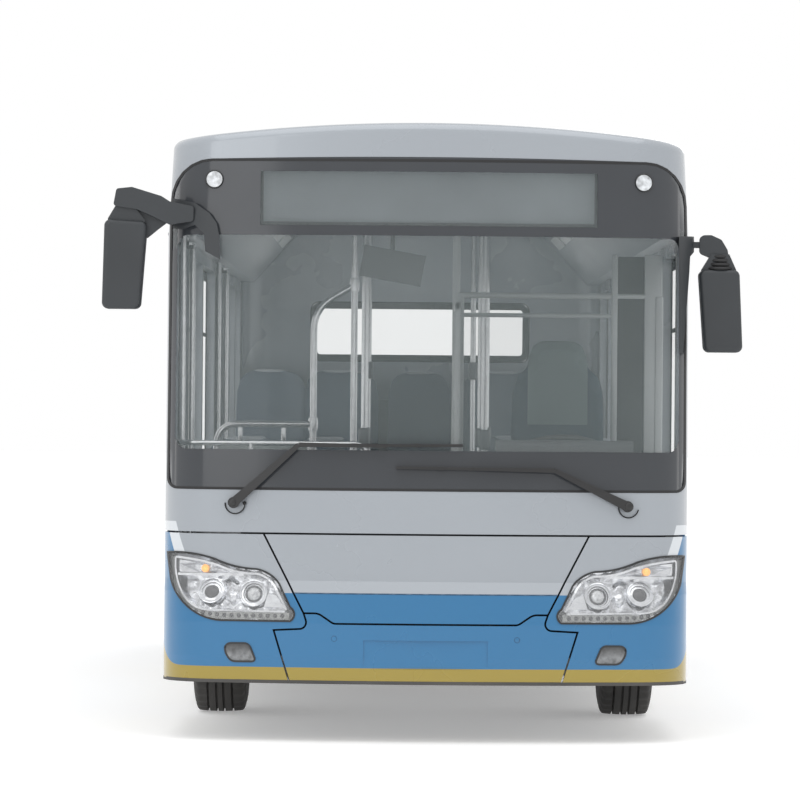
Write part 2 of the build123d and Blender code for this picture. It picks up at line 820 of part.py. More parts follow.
def wheel_boxes():
    """Covers over the four wheels, the front ones with a shelf for the air spring."""
    made = []
    for y, foot in ((Y_FA, FLOOR_Z - FLOOR_THICK), (Y_RA, RAISED_Z - FLOOR_THICK)):
        shell = well(y, BOX_THICK) - well(y)
        shell &= box(0, INNER, y - FAR, y + FAR, foot, FAR)
        if y == Y_FA:
            seat_y = y + SPRING_BEHIND
            shelf = box(
                BOX_INNER_X - 1, SPRING_X, seat_y - SPRING_RADIUS, seat_y + SPRING_RADIUS,
                SHELF_Z + BOND, SHELF_Z + SHELF_THICK,
            )
            shelf += Pos(SPRING_X, seat_y, SHELF_Z + BOND) * Cylinder(
                SPRING_RADIUS, SHELF_THICK - BOND, align=(Align.CENTER, Align.CENTER, Align.MIN)
            )
            shell += shelf
        made += both_sides(shell).solids()
    return Compound(children=made)


SPRING_X = 655
SPRING_RADIUS = 80
SPRING_BEHIND = 150
FRONT_SPRING_FOOT_Z = 300
REAR_SPRING_X = 480
REAR_SPRING_REACH = 430
REAR_SPRING_FOOT_Z = 440
BELLOWS = 3


def bellows(x, y, z0, z1):
    """A rolled rubber air spring: stacked rounded lobes between its end plates."""
    pitch = (z1 - z0) / BELLOWS
    waist = SPRING_RADIUS - 18
    edges = [Line((0, z0), (waist, z0))]
    for lobe in range(BELLOWS):
        low = z0 + lobe * pitch
        edges.append(
            ThreePointArc((waist, low), (SPRING_RADIUS, low + pitch / 2), (waist, low + pitch))
        )
    edges += [Line((waist, z1), (0, z1)), Line((0, z1), (0, z0))]
    profile = Plane.XZ * make_face(edges)
    return Pos(x, y, 0) * revolve(profile, Axis.Z)


def air_springs():
    """Two air springs on the front axle and four round the rear axle."""
    made = bellows(SPRING_X, Y_FA + SPRING_BEHIND, FRONT_SPRING_FOOT_Z + BOND, SHELF_Z).solids()
    for y in (Y_RA - REAR_SPRING_REACH, Y_RA + REAR_SPRING_REACH):
        made += bellows(REAR_SPRING_X, y, REAR_SPRING_FOOT_Z + BOND, REAR_RAIL_Z - BOND).solids()
    made += [mirrored(s) for s in made]
    return Compound(children=made)


# Cross members under the low floor and under the raised floor, by their middles
LOW_CROSS = [Y_NOSE + 150, Y_FA - 855, *spaced(Y_FA + 845, RISER_Y - 560, 3)]
HIGH_CROSS = [RISER_Y + 140, *spaced(Y_RA + 795, Y_TAIL - 75, 2)]
CROSS_HALF = 30
CROSS_LIFT = 20
KICK_LONG = 220
RAIL_FRONT_Y = Y_NOSE - 100
HORN_FOOT_Z = SKIRT_Z + 5
UPRIGHT_BEHIND = (130, 185)
BRACE_TALL = 60
BRACE_HEAD_Z = COWL_Z - 20
TOW_X = 300
TOW_RADIUS = 22
TOW_PLATE = 24
TOW_HALF = 45
TOW_Y = Y_NOSE - 360


def tow_eye(foot):
    """Flat lug under the front cross member with an upright bore for a tow bar's pin."""
    lug = box(
        TOW_X - TOW_HALF, TOW_X + TOW_HALF, TOW_Y - TOW_HALF, RAIL_FRONT_Y - BOND,
        foot, foot + TOW_PLATE,
    )
    return lug - Pos(TOW_X, TOW_Y, foot) * Cylinder(TOW_RADIUS, 4 * TOW_PLATE)


def chassis_frame():
    """Box rails that step up over the drive axle, with cross members, front horns and tow eyes."""
    low_head = FLOOR_Z - FLOOR_THICK
    low_foot = low_head - RAIL_TALL
    high_head = RAISED_Z - FLOOR_THICK
    inner, outer = RAIL_X - RAIL_WIDE / 2, RAIL_X + RAIL_WIDE / 2
    kick_y = RISER_Y + FLOOR_THICK + BOND
    high_y = kick_y + KICK_LONG
    kick = outline(
        [(kick_y, low_foot), (high_y, REAR_RAIL_Z), (high_y, high_head), (kick_y, high_head)]
    )
    front, back = [Y_FRONT + d for d in UPRIGHT_BEHIND]
    horn = box(inner, outer, Y_FRONT, RAIL_FRONT_Y - BOND, HORN_FOOT_Z, low_head)
    halves = [
        box(inner, outer, RAIL_FRONT_Y, kick_y - BOND, low_foot, low_head),
        side_prism(kick, inner, outer),
        box(inner, outer, high_y + BOND, Y_REAR - WALL - CROSS_HALF, REAR_RAIL_Z, high_head),
        horn & nose_block(WALL + BOND),
        box(inner, outer, front, back, low_head + BOND, BRACE_HEAD_Z - BRACE_TALL - BOND),
        tow_eye(HORN_FOOT_Z),
    ]
    brace = box(-outer, outer, Y_FRONT, back, BRACE_HEAD_Z - BRACE_TALL, BRACE_HEAD_Z)
    middles = [brace & nose_block(LID_THICK + BOND)]
    spans = [(RAIL_FRONT_Y + CROSS_HALF, low_foot, low_head)]
    spans += [(y, low_foot + CROSS_LIFT, low_head) for y in LOW_CROSS]
    spans += [(y, REAR_RAIL_Z + CROSS_LIFT / 2, high_head) for y in HIGH_CROSS]
    for n, (y, foot, head) in enumerate(spans):
        y0, y1 = y - CROSS_HALF, y + CROSS_HALF
        middles.append(box(BOND - inner, inner - BOND, y0, y1, foot, head))
        if n:
            halves.append(box(outer + BOND, INNER, y0, y1, foot, head))
    made = [s for half in halves for s in both_sides(half).solids()]
    return Compound(children=made + [s for middle in middles for s in middle.solids()])


# Axles, knuckles and wheels

KING_X = 890
KING_RADIUS = 22
KING_BOSS = 44
BEAM_WIDE = 76
BEAM_FOOT_Z = 150
BEAM_HEAD_Z = 235
SPINDLE_RADIUS = 38
HUB_RADIUS = 110
DISC_X = 70
FORK_GAP = 0.5
FORK_TALL = 50
BOSS_HALF = 62


def front_axle():
    """Dropped beam with a kingpin standing in a boss at each end and seats for the air springs."""
    half = [
        (0, BEAM_FOOT_Z),
        (SPRING_X + 30, BEAM_FOOT_Z),
        (KING_X - KING_BOSS - 24, AXLE_Z - BOSS_HALF),
        (KING_X, AXLE_Z - BOSS_HALF),
        (KING_X, AXLE_Z + BOSS_HALF),
        (KING_X - KING_BOSS - 70, AXLE_Z + BOSS_HALF),
        (SPRING_X - 60, BEAM_HEAD_Z),
        (0, BEAM_HEAD_Z),
    ]
    beam = front_prism(outline(half), Y_FA - BEAM_WIDE / 2, Y_FA + BEAM_WIDE / 2)
    beam += Pos(KING_X, Y_FA, AXLE_Z) * Cylinder(KING_BOSS, 2 * BOSS_HALF)
    reach = BOSS_HALF + FORK_TALL + 2 * FORK_GAP
    beam += Pos(KING_X, Y_FA, AXLE_Z) * Cylinder(KING_RADIUS, 2 * reach)
    beam += box(
        SPRING_X - 60, SPRING_X + 50, Y_FA - BEAM_WIDE / 2, Y_FA + SPRING_BEHIND + 60,
        BEAM_HEAD_Z - 40, FRONT_SPRING_FOOT_Z,
    )
    return beam + mirrored(beam)


def knuckle(side):
    """Forged fork round the kingpin with the stub axle and the steering arm."""
    low = AXLE_Z - BOSS_HALF - FORK_GAP
    high = AXLE_Z + BOSS_HALF + FORK_GAP
    web_x = KING_X + KING_BOSS + 8
    made = box(web_x, web_x + 34, Y_FA - 60, Y_FA + 60, low - FORK_TALL, high + FORK_TALL)
    for z in (low - FORK_TALL, high):
        lug = Pos(KING_X, Y_FA, z) * Cylinder(
            KING_BOSS, FORK_TALL, align=(Align.CENTER, Align.CENTER, Align.MIN)
        )
        made += lug + box(KING_X, web_x + 1, Y_FA - KING_BOSS, Y_FA + KING_BOSS, z, z + FORK_TALL)
    made -= Pos(KING_X, Y_FA, AXLE_Z) * Cylinder(KING_RADIUS + RUNNING, FAR)
    made += rod((web_x + 30, Y_FA, AXLE_Z), (FRONT_TRACK / 2 + DISC_X - 10, Y_FA, AXLE_Z), SPINDLE_RADIUS)
    made += rod((web_x + 17, Y_FA - 40, low - 30), (KING_X - 60, Y_FA - 210, low - 30), 18)
    return made if side > 0 else mirrored(made)


def rear_axle():
    """Drive axle: banjo housing, tapered tubes and the carriers for the air springs."""
    tube_end = REAR_TRACK / 2 - DUAL_SPACING / 2 - TYRE_WIDTH / 2 + 20
    made = rod((-tube_end, Y_RA, AXLE_Z), (tube_end, Y_RA, AXLE_Z), 72)
    made += rod((-90, Y_RA, AXLE_Z), (90, Y_RA, AXLE_Z), 190)
    made += rod((0, Y_RA, AXLE_Z), (0, Y_RA + 260, AXLE_Z), 110)
    for side in (-1, 1):
        x = side * REAR_SPRING_X
        made += box(x - 40, x + 40, Y_RA - REAR_SPRING_REACH - 60, Y_RA + REAR_SPRING_REACH + 60,
                    REAR_SPRING_FOOT_Z - 110, REAR_SPRING_FOOT_Z - 20)
        for y in (Y_RA - REAR_SPRING_REACH, Y_RA + REAR_SPRING_REACH):
            made += Pos(x, y, REAR_SPRING_FOOT_Z - 40) * Cylinder(
                SPRING_RADIUS - 18, 40, align=(Align.CENTER, Align.CENTER, Align.MIN)
            )
    spindle_end = REAR_TRACK / 2 + DUAL_SPACING / 2 - 60
    made += rod((-spindle_end, Y_RA, AXLE_Z), (spindle_end, Y_RA, AXLE_Z), SPINDLE_RADIUS)
    return made


def tyre(x, y):
    """A road tyre about the X axis: bead, sidewall, shoulder and a slightly arched tread."""
    half = TYRE_WIDTH / 2
    bead = half - 30
    tread = half - 26
    wall_z = (RIM_RADIUS + TYRE_RADIUS) / 2 - 4
    shoulder_z = TYRE_RADIUS - 52
    tread_z = TYRE_RADIUS - 7
    edges = [
        Line((-bead, RIM_RADIUS), (bead, RIM_RADIUS)),
        ThreePointArc((bead, RIM_RADIUS), (half, wall_z), (half - 9, shoulder_z)),
        ThreePointArc((half - 9, shoulder_z), (half - 14, TYRE_RADIUS - 22), (tread, tread_z)),
        ThreePointArc((tread, tread_z), (0, TYRE_RADIUS), (-tread, tread_z)),
        ThreePointArc((-tread, tread_z), (14 - half, TYRE_RADIUS - 22), (9 - half, shoulder_z)),
        ThreePointArc((9 - half, shoulder_z), (-half, wall_z), (-bead, RIM_RADIUS)),
    ]
    return Pos(x, y, AXLE_Z) * revolve(Plane.XZ * make_face(edges), Axis.X)


RIM_WALL = 12
RIM_WELL = 40
HAND_HOLES = 10
HAND_HOLE_RADIUS = 26
HAND_HOLE_CIRCLE = 218


def rim_barrel(x):
    """A drop-centre rim about the X axis."""
    half = TYRE_WIDTH / 2 - 30
    lip = half + 8
    outer = [
        (-lip, RIM_RADIUS - 1), (-half, RIM_RADIUS - 1), (-half + 40, RIM_RADIUS - 6),
        (-30, RIM_RADIUS - RIM_WELL), (30, RIM_RADIUS - RIM_WELL),
        (half - 40, RIM_RADIUS - 6), (half, RIM_RADIUS - 1), (lip, RIM_RADIUS - 1),
    ]
    inner = [(px, r - RIM_WALL) for px, r in reversed(outer)]
    return Pos(x, 0, 0) * revolve(Plane.XZ * outline(outer + inner), Axis.X)


def disc(x0, x_hub, hub):
    """Dished wheel disc from the rim's well to the hub face, with hand holes and a stud circle."""
    thick = 14
    rise = x_hub - x0
    edge = RIM_RADIUS - RIM_WELL - RIM_WALL + 1
    flat = STUD_CIRCLE / 2 + 28
    profile = outline(
        [
            (x0, edge), (x0 + rise, flat), (x0 + rise, hub), (x0 + rise + thick, hub),
            (x0 + rise + thick, flat + 4), (x0 + thick, edge),
        ]
    )
    made = revolve(Plane.XZ * profile, Axis.X)
    for n in range(HAND_HOLES):
        turn = math.radians(360 * n / HAND_HOLES)
        y, z = HAND_HOLE_CIRCLE * math.cos(turn), HAND_HOLE_CIRCLE * math.sin(turn)
        made -= rod((min(x0, x_hub) - 60, y, z), (max(x0, x_hub) + 60, y, z), HAND_HOLE_RADIUS)
    return made


def front_rim(side):
    """Front wheel: rim, disc bulged outwards, hub and its cap."""
    x = FRONT_TRACK / 2
    made = rim_barrel(x) + disc(x - 10, x + DISC_X, 90)
    made += rod((x - 40, 0, 0), (x + DISC_X + 50, 0, 0), HUB_RADIUS)
    made -= rod((x - 60, 0, 0), (x + DISC_X - 8, 0, 0), SPINDLE_RADIUS + RUNNING)
    made = Pos(0, Y_FA, AXLE_Z) * made
    return made if side > 0 else mirrored(made)


def rear_rims(side):
    """Rear twin wheels: two rims back to back on one hub, the outer disc dished in."""
    inner = REAR_TRACK / 2 - DUAL_SPACING / 2
    outer = REAR_TRACK / 2 + DUAL_SPACING / 2
    face = REAR_TRACK / 2 + 6
    made = rim_barrel(inner) + rim_barrel(outer)
    made += disc(outer - 20, face, 90)
    made += disc(inner + 6, face - 15, 90)
    made += rod((inner - 60, 0, 0), (outer + 60, 0, 0), HUB_RADIUS + 12)
    made -= rod((inner - 80, 0, 0), (outer - 52, 0, 0), SPINDLE_RADIUS + RUNNING)
    made = Pos(0, Y_RA, AXLE_Z) * made
    return made if side > 0 else mirrored(made)


def rear_tyres(side):
    """Twin tyres of one rear wheel set."""
    places = (REAR_TRACK / 2 - DUAL_SPACING / 2, REAR_TRACK / 2 + DUAL_SPACING / 2)
    made = [tyre(side * x, Y_RA) for x in places]
    return Compound(children=[s for t in made for s in t.solids()])


def drive_motor():
    """Traction motor behind the drive axle, joined to it by a short shaft."""
    made = box(-260, 260, Y_RA + 640, Y_RA + 1240, 330, REAR_RAIL_Z + 10 - BOND)
    return made + rod((0, Y_RA + 260, AXLE_Z), (0, Y_RA + 645, AXLE_Z), 45)


def battery_packs():
    """Battery cases in the rear bay, one each side of the motor and one above the bumper."""
    low, high = 330, REAR_RAIL_Z
    side = box(600, INNER - 40, Y_RA + 640, Y_TAIL, low, high + 10 - BOND)
    return Compound(children=both_sides(side).solids())


# Doors

LEAF_X = -(HALF - LEAF_INSET)
POST_X = LEAF_X + POST_OFFSET
TAB_TALL = 18
TAB_HALF = 25
# Arms pass under and over a leaf, columns: foot of the arm, the way from it to the leaf
ARMS = [(FLOOR_Z + ARM_GAP, 1), (CANT_Z - ARM_GAP - ARM_TALL, -1)]


def leaf_places(index, fore):
    """Jamb, direction along the bus, leaf end, post and pivot of one leaf, all in Y."""
    front, rear = doorway_span(index)
    way = 1 if fore else -1
    jamb = front if fore else rear
    lead = (rear - front) / 2 - LEAF_MEET_GAP
    post = -POST_BACK
    near = (lead - post - ARM_LEAD) / 2
    pivot = lead - near
    return {
        "jamb": jamb,
        "way": way,
        "heel": jamb + way * LEAF_JAMB_GAP,
        "toe": jamb + way * lead,
        "post": jamb + way * post,
        "pivot": jamb + way * pivot,
    }


def door_post(index, fore):
    """Upright post by the jamb with the two arms that carry a leaf."""
    p = leaf_places(index, fore)
    made = rod((POST_X, p["post"], FLOOR_Z + 0.5), (POST_X, p["post"], CANT_Z - 0.5), POST_RADIUS)
    for z, _ in ARMS:
        made += box(POST_X - ARM_WIDE / 2, POST_X + ARM_WIDE / 2, p["post"], p["pivot"], z, z + ARM_TALL)
        made += Pos(POST_X, p["pivot"], z + ARM_TALL / 2) * Cylinder(ARM_WIDE / 2 + 3, ARM_TALL)
        made -= Pos(POST_X, p["pivot"], z) * Cylinder(PIN_RADIUS + RUNNING, 4 * ARM_TALL)
    return made


def leaf_windows(index, fore, shrink=0):
    """The two panes' outlines in a leaf, in side view."""
    p = leaf_places(index, fore)
    y0, y1 = sorted((p["heel"], p["toe"]))
    rail = 1060
    spans = ((LEAF_FOOT_Z + 1.6 * STILE, rail), (rail + STILE, LEAF_HEAD_Z - STILE))
    faces = []
    for z0, z1 in spans:
        middle = Pos((y0 + y1) / 2, (z0 + z1) / 2)
        faces.append(
            middle * RectangleRounded(y1 - y0 - 2 * STILE - 2 * shrink, z1 - z0 - 2 * shrink, 40)
        )
    return faces


def door_leaf(index, fore):
    """Door leaf frame with two window openings and the tabs and pins that hang it on its arms."""
    p = leaf_places(index, fore)
    x0, x1 = LEAF_X - LEAF_THICK / 2, LEAF_X + LEAF_THICK / 2
    made = box(x0, x1, p["heel"], p["toe"], LEAF_FOOT_Z, LEAF_HEAD_Z)
    for face in leaf_windows(index, fore):
        made -= side_prism(face, x0 - 1, x1 + 1)
    pivot = p["pivot"]
    for z, way in ARMS:
        near, far = (z + ARM_TALL, z) if way > 0 else (z, z + ARM_TALL)
        seat = near + way * FORK_GAP
        made += box(
            x1 - 1, POST_X + ARM_WIDE / 2, pivot - TAB_HALF, pivot + TAB_HALF, seat, seat + way * TAB_TALL
        )
        made += rod((POST_X, pivot, far), (POST_X, pivot, seat + way), PIN_RADIUS)
    return made


def leaf_glass(index, fore):
    """The two panes of a leaf."""
    x = LEAF_X - LEAF_THICK / 2 + 6
    made = [side_prism(f, x, x + PANE) for f in leaf_windows(index, fore, BOND)]
    return Compound(children=[s for m in made for s in m.solids()])


# Cab and saloon

CAB_FLOOR_Z = 560
PARTITION_Y = BOX_FRONT_Y - 70
CAB_SIDE_X = 150
SEAT_X = 660
SEAT_Y = PARTITION_Y - 440


def dashboard():
    """Dash across the cab: a raised binnacle in front of the driver and a low shelf to the door side."""
    foot = FLOOR_Z
    back = Y_FRONT + 760
    face = outline(
        [
            (Y_FRONT + 190, foot), (Y_FRONT + 190, 1190), (Y_FRONT + 330, 1330),
            (Y_FRONT + 560, 1370), (back, 1240), (back - 60, 1100), (back - 260, foot),
        ]
    )
    made = side_prism(face, 160, INNER - 60)
    shelf = box(-INNER + 320, 160, Y_FRONT + 190, Y_FRONT + 420, foot, 1190)
    made = made + shelf
    hood = side_prism(
        outline([(Y_FRONT + 380, 1300), (Y_FRONT + 430, 1430), (Y_FRONT + 540, 1430), (Y_FRONT + 640, 1270)]),
        SEAT_X - 330, SEAT_X + 330,
    )
    made += fillet(hood.edges().filter_by(Axis.X).group_by(Axis.Z)[-1], 40)
    tilt = math.radians(COLUMN_TILT)
    x, y, z = WHEEL_AT
    reach = [(x, y - d * math.sin(tilt), z - d * math.cos(tilt)) for d in (SHAFT + FORK_GAP, 420)]
    made += rod(*reach, 34)
    return made & nose_block(WALL + 20) + box(-INNER, INNER, Y_NOSE, 0, 0, FAR) & made


SEAT_WIDE = 425
SEAT_PITCH = 750
SEAT_LEG = 120
CUSHION_FOOT_Z = 395
# A seat facing the front in side view, columns: y, z above the floor
BACK_FOOT = [(172, 440), (215, 432)]
CUSHION = [(-225, 420), (-215, 455), *[(y, z - BOND) for y, z in BACK_FOOT], (205, CUSHION_FOOT_Z),
           (-200, CUSHION_FOOT_Z)]
BACKREST = [BACK_FOOT[0], (232, 960), (252, 1000), (285, 985), BACK_FOOT[1]]
BACK_SHOULDER = 70


def seat(x, y, z):
    """One seat on a floor: a pedestal, a cushion and a back with sloping shoulders."""
    half = SEAT_WIDE / 2
    shoulder = (half - BACK_SHOULDER, BACKREST[2][1])
    back = side_prism(outline(BACKREST), -half, half)
    back &= front_prism(
        symmetric([shoulder, (half, shoulder[1] - BACK_SHOULDER), (half, 0)]), -SEAT_PITCH, SEAT_PITCH
    )
    leg = box(-SEAT_LEG / 2, SEAT_LEG / 2, -SEAT_LEG / 2, SEAT_LEG / 2, 0, CUSHION_FOOT_Z - BOND)
    made = [side_prism(outline(CUSHION), -half, half), back, leg]
    return [Pos(x, y, z) * s for m in made for s in m.solids()]


DOOR_SIDE_SEATS = (-970, -535)
DRIVER_SIDE_SEATS = (535, 970)
FIRST_ROW_Y = Y_FA + 945
# Rows of seats, columns: y, floor height, centres across the bus
SEAT_ROWS = [
    (FIRST_ROW_Y, FLOOR_Z, DOOR_SIDE_SEATS + DRIVER_SIDE_SEATS),
    (FIRST_ROW_Y + SEAT_PITCH, FLOOR_Z, DOOR_SIDE_SEATS + DRIVER_SIDE_SEATS),
    (FIRST_ROW_Y + 2 * SEAT_PITCH, FLOOR_Z, DRIVER_SIDE_SEATS),
    (FIRST_ROW_Y + 3 * SEAT_PITCH, FLOOR_Z, DRIVER_SIDE_SEATS),
    (FIRST_ROW_Y + 4 * SEAT_PITCH, FLOOR_Z, DRIVER_SIDE_SEATS),
    (Y_RA + 895, RAISED_Z, DOOR_SIDE_SEATS + DRIVER_SIDE_SEATS),
    (Y_RA + 895 + SEAT_PITCH, RAISED_Z, DOOR_SIDE_SEATS + DRIVER_SIDE_SEATS),
    (Y_TAIL - 25, RAISED_Z, (-970, -485, 0, 485, 970)),
]


def passenger_seats():
    """Single moulded seats in rows, and a bench row across the rear."""
    return Compound(children=[s for y, z, row in SEAT_ROWS for x in row for s in seat(x, y, z)])


SEAT_HALF = 255
PEDESTAL_HALF = 170
SEAT_FOOT_Z = 1000
SEAT_HEAD_Z = 1945
SHOULDER_Z = 1500
SHOULDER_SLOPE = 90
# The driver's cushion and back in side view, columns: y from the seat's middle, z
BACK_FRONT = [(208, SEAT_FOOT_Z), (182, 1100)]
DRIVER_CUSHION = [(-240, SEAT_FOOT_Z), (-250, 1080), *[(y - BOND, z) for y, z in reversed(BACK_FRONT)]]
DRIVER_BACK = [*BACK_FRONT, (270, 1560), (300, SEAT_HEAD_Z), (350, SEAT_HEAD_Z - 10),
               (370, 1560), (300, SEAT_FOOT_Z)]


def cab_platform():
    """Raised floor of the cab with the pedestal under the driver's seat."""
    made = box(CAB_SIDE_X + 20, INNER - 10, SEAT_Y - 500, PARTITION_Y - 20, FLOOR_Z, CAB_FLOOR_Z)
    return made + box(
        SEAT_X - PEDESTAL_HALF, SEAT_X + PEDESTAL_HALF, SEAT_Y - PEDESTAL_HALF, SEAT_Y + PEDESTAL_HALF,
        CAB_FLOOR_Z, SEAT_FOOT_Z - BOND,
    )


def driver_seat():
    """Cushion and high back of the driver's seat, the back narrowing to a rounded head."""
    face = symmetric([(SEAT_HALF - SHOULDER_SLOPE, SEAT_HEAD_Z), (SEAT_HALF, SHOULDER_Z), (SEAT_HALF, 0)])
    face = fillet(face.vertices().sort_by(Axis.Y)[-2:], SHOULDER_SLOPE)
    back = side_prism(outline(DRIVER_BACK), -SEAT_HALF, SEAT_HALF)
    back &= front_prism(face, -SEAT_HEAD_Z, SEAT_HEAD_Z)
    cushion = side_prism(outline(DRIVER_CUSHION), -SEAT_HALF, SEAT_HALF)
    place = Pos(SEAT_X, SEAT_Y, 0)
    return Compound(children=[place * s for m in (cushion, back) for s in m.solids()])


WHEEL_RADIUS = 235
COLUMN_TILT = 28
SHAFT = 120
WHEEL_AT = (SEAT_X, Y_FRONT + 845, 1330)


def steering_wheel():
    """Steering wheel with three spokes on its hub and the top of its shaft."""
    made = Torus(WHEEL_RADIUS, 17)
    made += Cylinder(48, 50)
    for n in range(3):
        made += Rot(0, 0, 90 + 120 * n) * Pos(WHEEL_RADIUS / 2, 0, 0) * Box(WHEEL_RADIUS, 38, 14)
    made += Pos(0, 0, -SHAFT / 2) * Cylinder(20, SHAFT)
    x, y, z = WHEEL_AT
    return Pos(x, y, z) * Rot(-COLUMN_TILT, 0, 0) * made


GLAZED = 8
FRAME_BAR = 40
CAB_SILL_Z = 1280
CAB_HEAD_Z = 2150


def cab_partition():
    """Framed screen behind the driver, with a post for the cab door."""
    head = CAB_HEAD_Z
    made = box(CAB_SIDE_X, INNER - 5, PARTITION_Y, PARTITION_Y + FRAME_BAR, FLOOR_Z, head)
    made -= box(
        CAB_SIDE_X + FRAME_BAR, INNER - 5 - FRAME_BAR, PARTITION_Y - 1, PARTITION_Y + FRAME_BAR + 1,
        CAB_SILL_Z, head - FRAME_BAR,
    )
    made += box(
        CAB_SIDE_X + 10, INNER - 15, PARTITION_Y + 16, PARTITION_Y + 16 + GLAZED, CAB_SILL_Z - 80, head - 10
    )
    made += rod((CAB_SIDE_X, PARTITION_Y + 20, FLOOR_Z), (CAB_SIDE_X, PARTITION_Y + 20, CEILING_Z), 19)
    return made + cab_hinges()


CAB_DOOR_LONG = 640
CAB_DOOR_HALF = 14
CAB_DOOR_HEAD_Z = CAB_HEAD_Z - 50
CAB_HINGE_Z = (600, 1900)
CAB_PIN_X = CAB_SIDE_X
CAB_PIN_Y = PARTITION_Y - 30


def cab_door():
    """Half-glazed door between the driver and the gangway, hung on the partition's edge."""
    x0, x1 = CAB_SIDE_X - CAB_DOOR_HALF, CAB_SIDE_X + CAB_DOOR_HALF
    y1 = CAB_PIN_Y - CAB_DOOR_HALF
    y0 = y1 - CAB_DOOR_LONG
    made = box(x0, x1, y0, y1, FLOOR_Z + FRAME_BAR, CAB_DOOR_HEAD_Z)
    made -= box(
        x0 - 1, x1 + 1, y0 + FRAME_BAR, y1 - FRAME_BAR, CAB_SILL_Z, CAB_DOOR_HEAD_Z - FRAME_BAR
    )
    made += box(
        CAB_SIDE_X - GLAZED / 2, CAB_SIDE_X + GLAZED / 2, y0 + FRAME_BAR / 2, y1 - FRAME_BAR / 2,
        CAB_SILL_Z - FRAME_BAR, CAB_DOOR_HEAD_Z - FRAME_BAR / 2,
    )
    for z in CAB_HINGE_Z:
        made += Pos(CAB_PIN_X, CAB_PIN_Y, z) * Cylinder(CAB_DOOR_HALF, 80)
        made += box(CAB_PIN_X - 6, CAB_PIN_X + 6, y1 - 2, CAB_PIN_Y, z - 40, z + 40)
        made -= Pos(CAB_PIN_X, CAB_PIN_Y, z) * Cylinder(CAB_PIN_RADIUS + RUNNING, 200)
    return made


CAB_PIN_RADIUS = 7


def cab_hinges():
    """Pins on the partition's edge that carry the cab door."""
    made = []
    for z in CAB_HINGE_Z:
        pin = Pos(CAB_PIN_X, CAB_PIN_Y, z) * Cylinder(CAB_PIN_RADIUS, 130)
        for ear_z in (z - 53, z + 53):
            pin += box(
                CAB_PIN_X - 9, CAB_PIN_X + 9, CAB_PIN_Y - 9, PARTITION_Y + 2, ear_z - 10, ear_z + 10
            )
        made.append(pin)
    return made[0] + made[1]


RAIL_RADIUS = 17
MID_JAMB_Y = doorway_span(1)[0]
# Upright poles, columns: x, y, foot
POLES = [
    (-330, MID_JAMB_Y - 940, FLOOR_Z),
    (330, Y_FA + 1285, FLOOR_Z),
    (330, Y_FA + 2785, FLOOR_Z),
    (-330, MID_JAMB_Y - 120, FLOOR_Z),
    (390, RISER_Y - 80, FLOOR_Z),
    (-330, Y_RA + 595, RAISED_Z),
    (330, Y_RA + 595, RAISED_Z),
]
GUARD_Y = Y_FA - BOX_LONG + 60
GUARD_HEAD_Z = 1490
# Uprights of the guard by the front door, columns: x, head
GUARD_POSTS = [(-1060, GUARD_HEAD_Z), (-570, CEILING_Z)]
GUARD_PANEL_Z = (1150, 1400)


def handrails():
    """Grab poles from floor to ceiling, and a guard rail with a panel on the box by the front door."""
    made = []
    for x, y, foot in POLES:
        made += rod((x, y, foot), (x, y, CEILING_Z), RAIL_RADIUS).solids()
    foot = BOX_HEAD_Z + BOX_THICK
    (x0, _), (x1, _) = GUARD_POSTS
    guard = rod((x0, GUARD_Y, GUARD_HEAD_Z), (x1, GUARD_Y, GUARD_HEAD_Z), RAIL_RADIUS)
    guard += Pos(x0, GUARD_Y, GUARD_HEAD_Z) * Sphere(RAIL_RADIUS)
    for x, head in GUARD_POSTS:
        guard += rod((x, GUARD_Y, foot), (x, GUARD_Y, head), RAIL_RADIUS)
    guard += box(x0, x1, GUARD_Y - GLAZED / 2, GUARD_Y + GLAZED / 2, *GUARD_PANEL_Z)
    return Compound(children=made + guard.solids())


# Mirrors and wipers

MIRROR_DEEP = 130
HEAD_CORNER = 30
HEAD_SOFT = 20
DOOR_MIRROR_Y = Y_FRONT + 250
DRIVER_MIRROR_Y = Y_FRONT + 425
MIRROR_REACH_Y = Y_FRONT + 560
BRACKET_PROUD = 28
# Blocks of the door-side mirror: corner rounding, set-in of front and back, outline as x and z
DOOR_MIRROR = [
    (HEAD_CORNER, 0, 0, [(1544, 2467), (1341, 2456), (1372, 2040), (1554, 2040)]),
    (8, 25, 20, [(1493, 2530), (1405, 2530), (1341, 2450), (1534, 2460)]),
    (14, 10, 10, [(1503, 2530), (1488, 2612), (1414, 2620), (1274, 2578), (1233, 2552), (1120, 2530),
                  (1120, 2460), (1233, 2442), (1325, 2487), (1393, 2515)]),
    (6, 45, 45, [(1393, 2525), (1345, 2375), (1283, 2426), (1235, 2462), (1305, 2550)]),
]
DOOR_BRACKET = [(1223, 2572), (1115, 2547), (1043, 2497), (1009, 2451), (995, 2389), (989, 2276),
                (1062, 2316), (1068, 2399), (1114, 2442), (1171, 2423), (1222, 2428)]
# Blocks of the driver's mirror, columns as above
DRIVER_MIRROR = [
    (HEAD_CORNER, 0, 0, [(1297, 2254), (1492, 2254), (1510, 1858), (1326, 1858)]),
    (5, 30, 25, [(1358, 2330), (1443, 2330), (1480, 2248), (1308, 2248)]),
    (24, 35, 30, [(1303, 2420), (1357, 2421), (1406, 2399), (1435, 2351), (1443, 2310), (1358, 2310),
                  (1302, 2333)]),
    (4, 45, 40, [(1250, 2388), (1315, 2388), (1315, 2359), (1250, 2359)]),
]
DRIVER_BRACKET = [(1194, 2408), (1276, 2414), (1279, 2343), (1253, 2316), (1249, 2241), (1218, 1852),
                  (1199, 1852)]


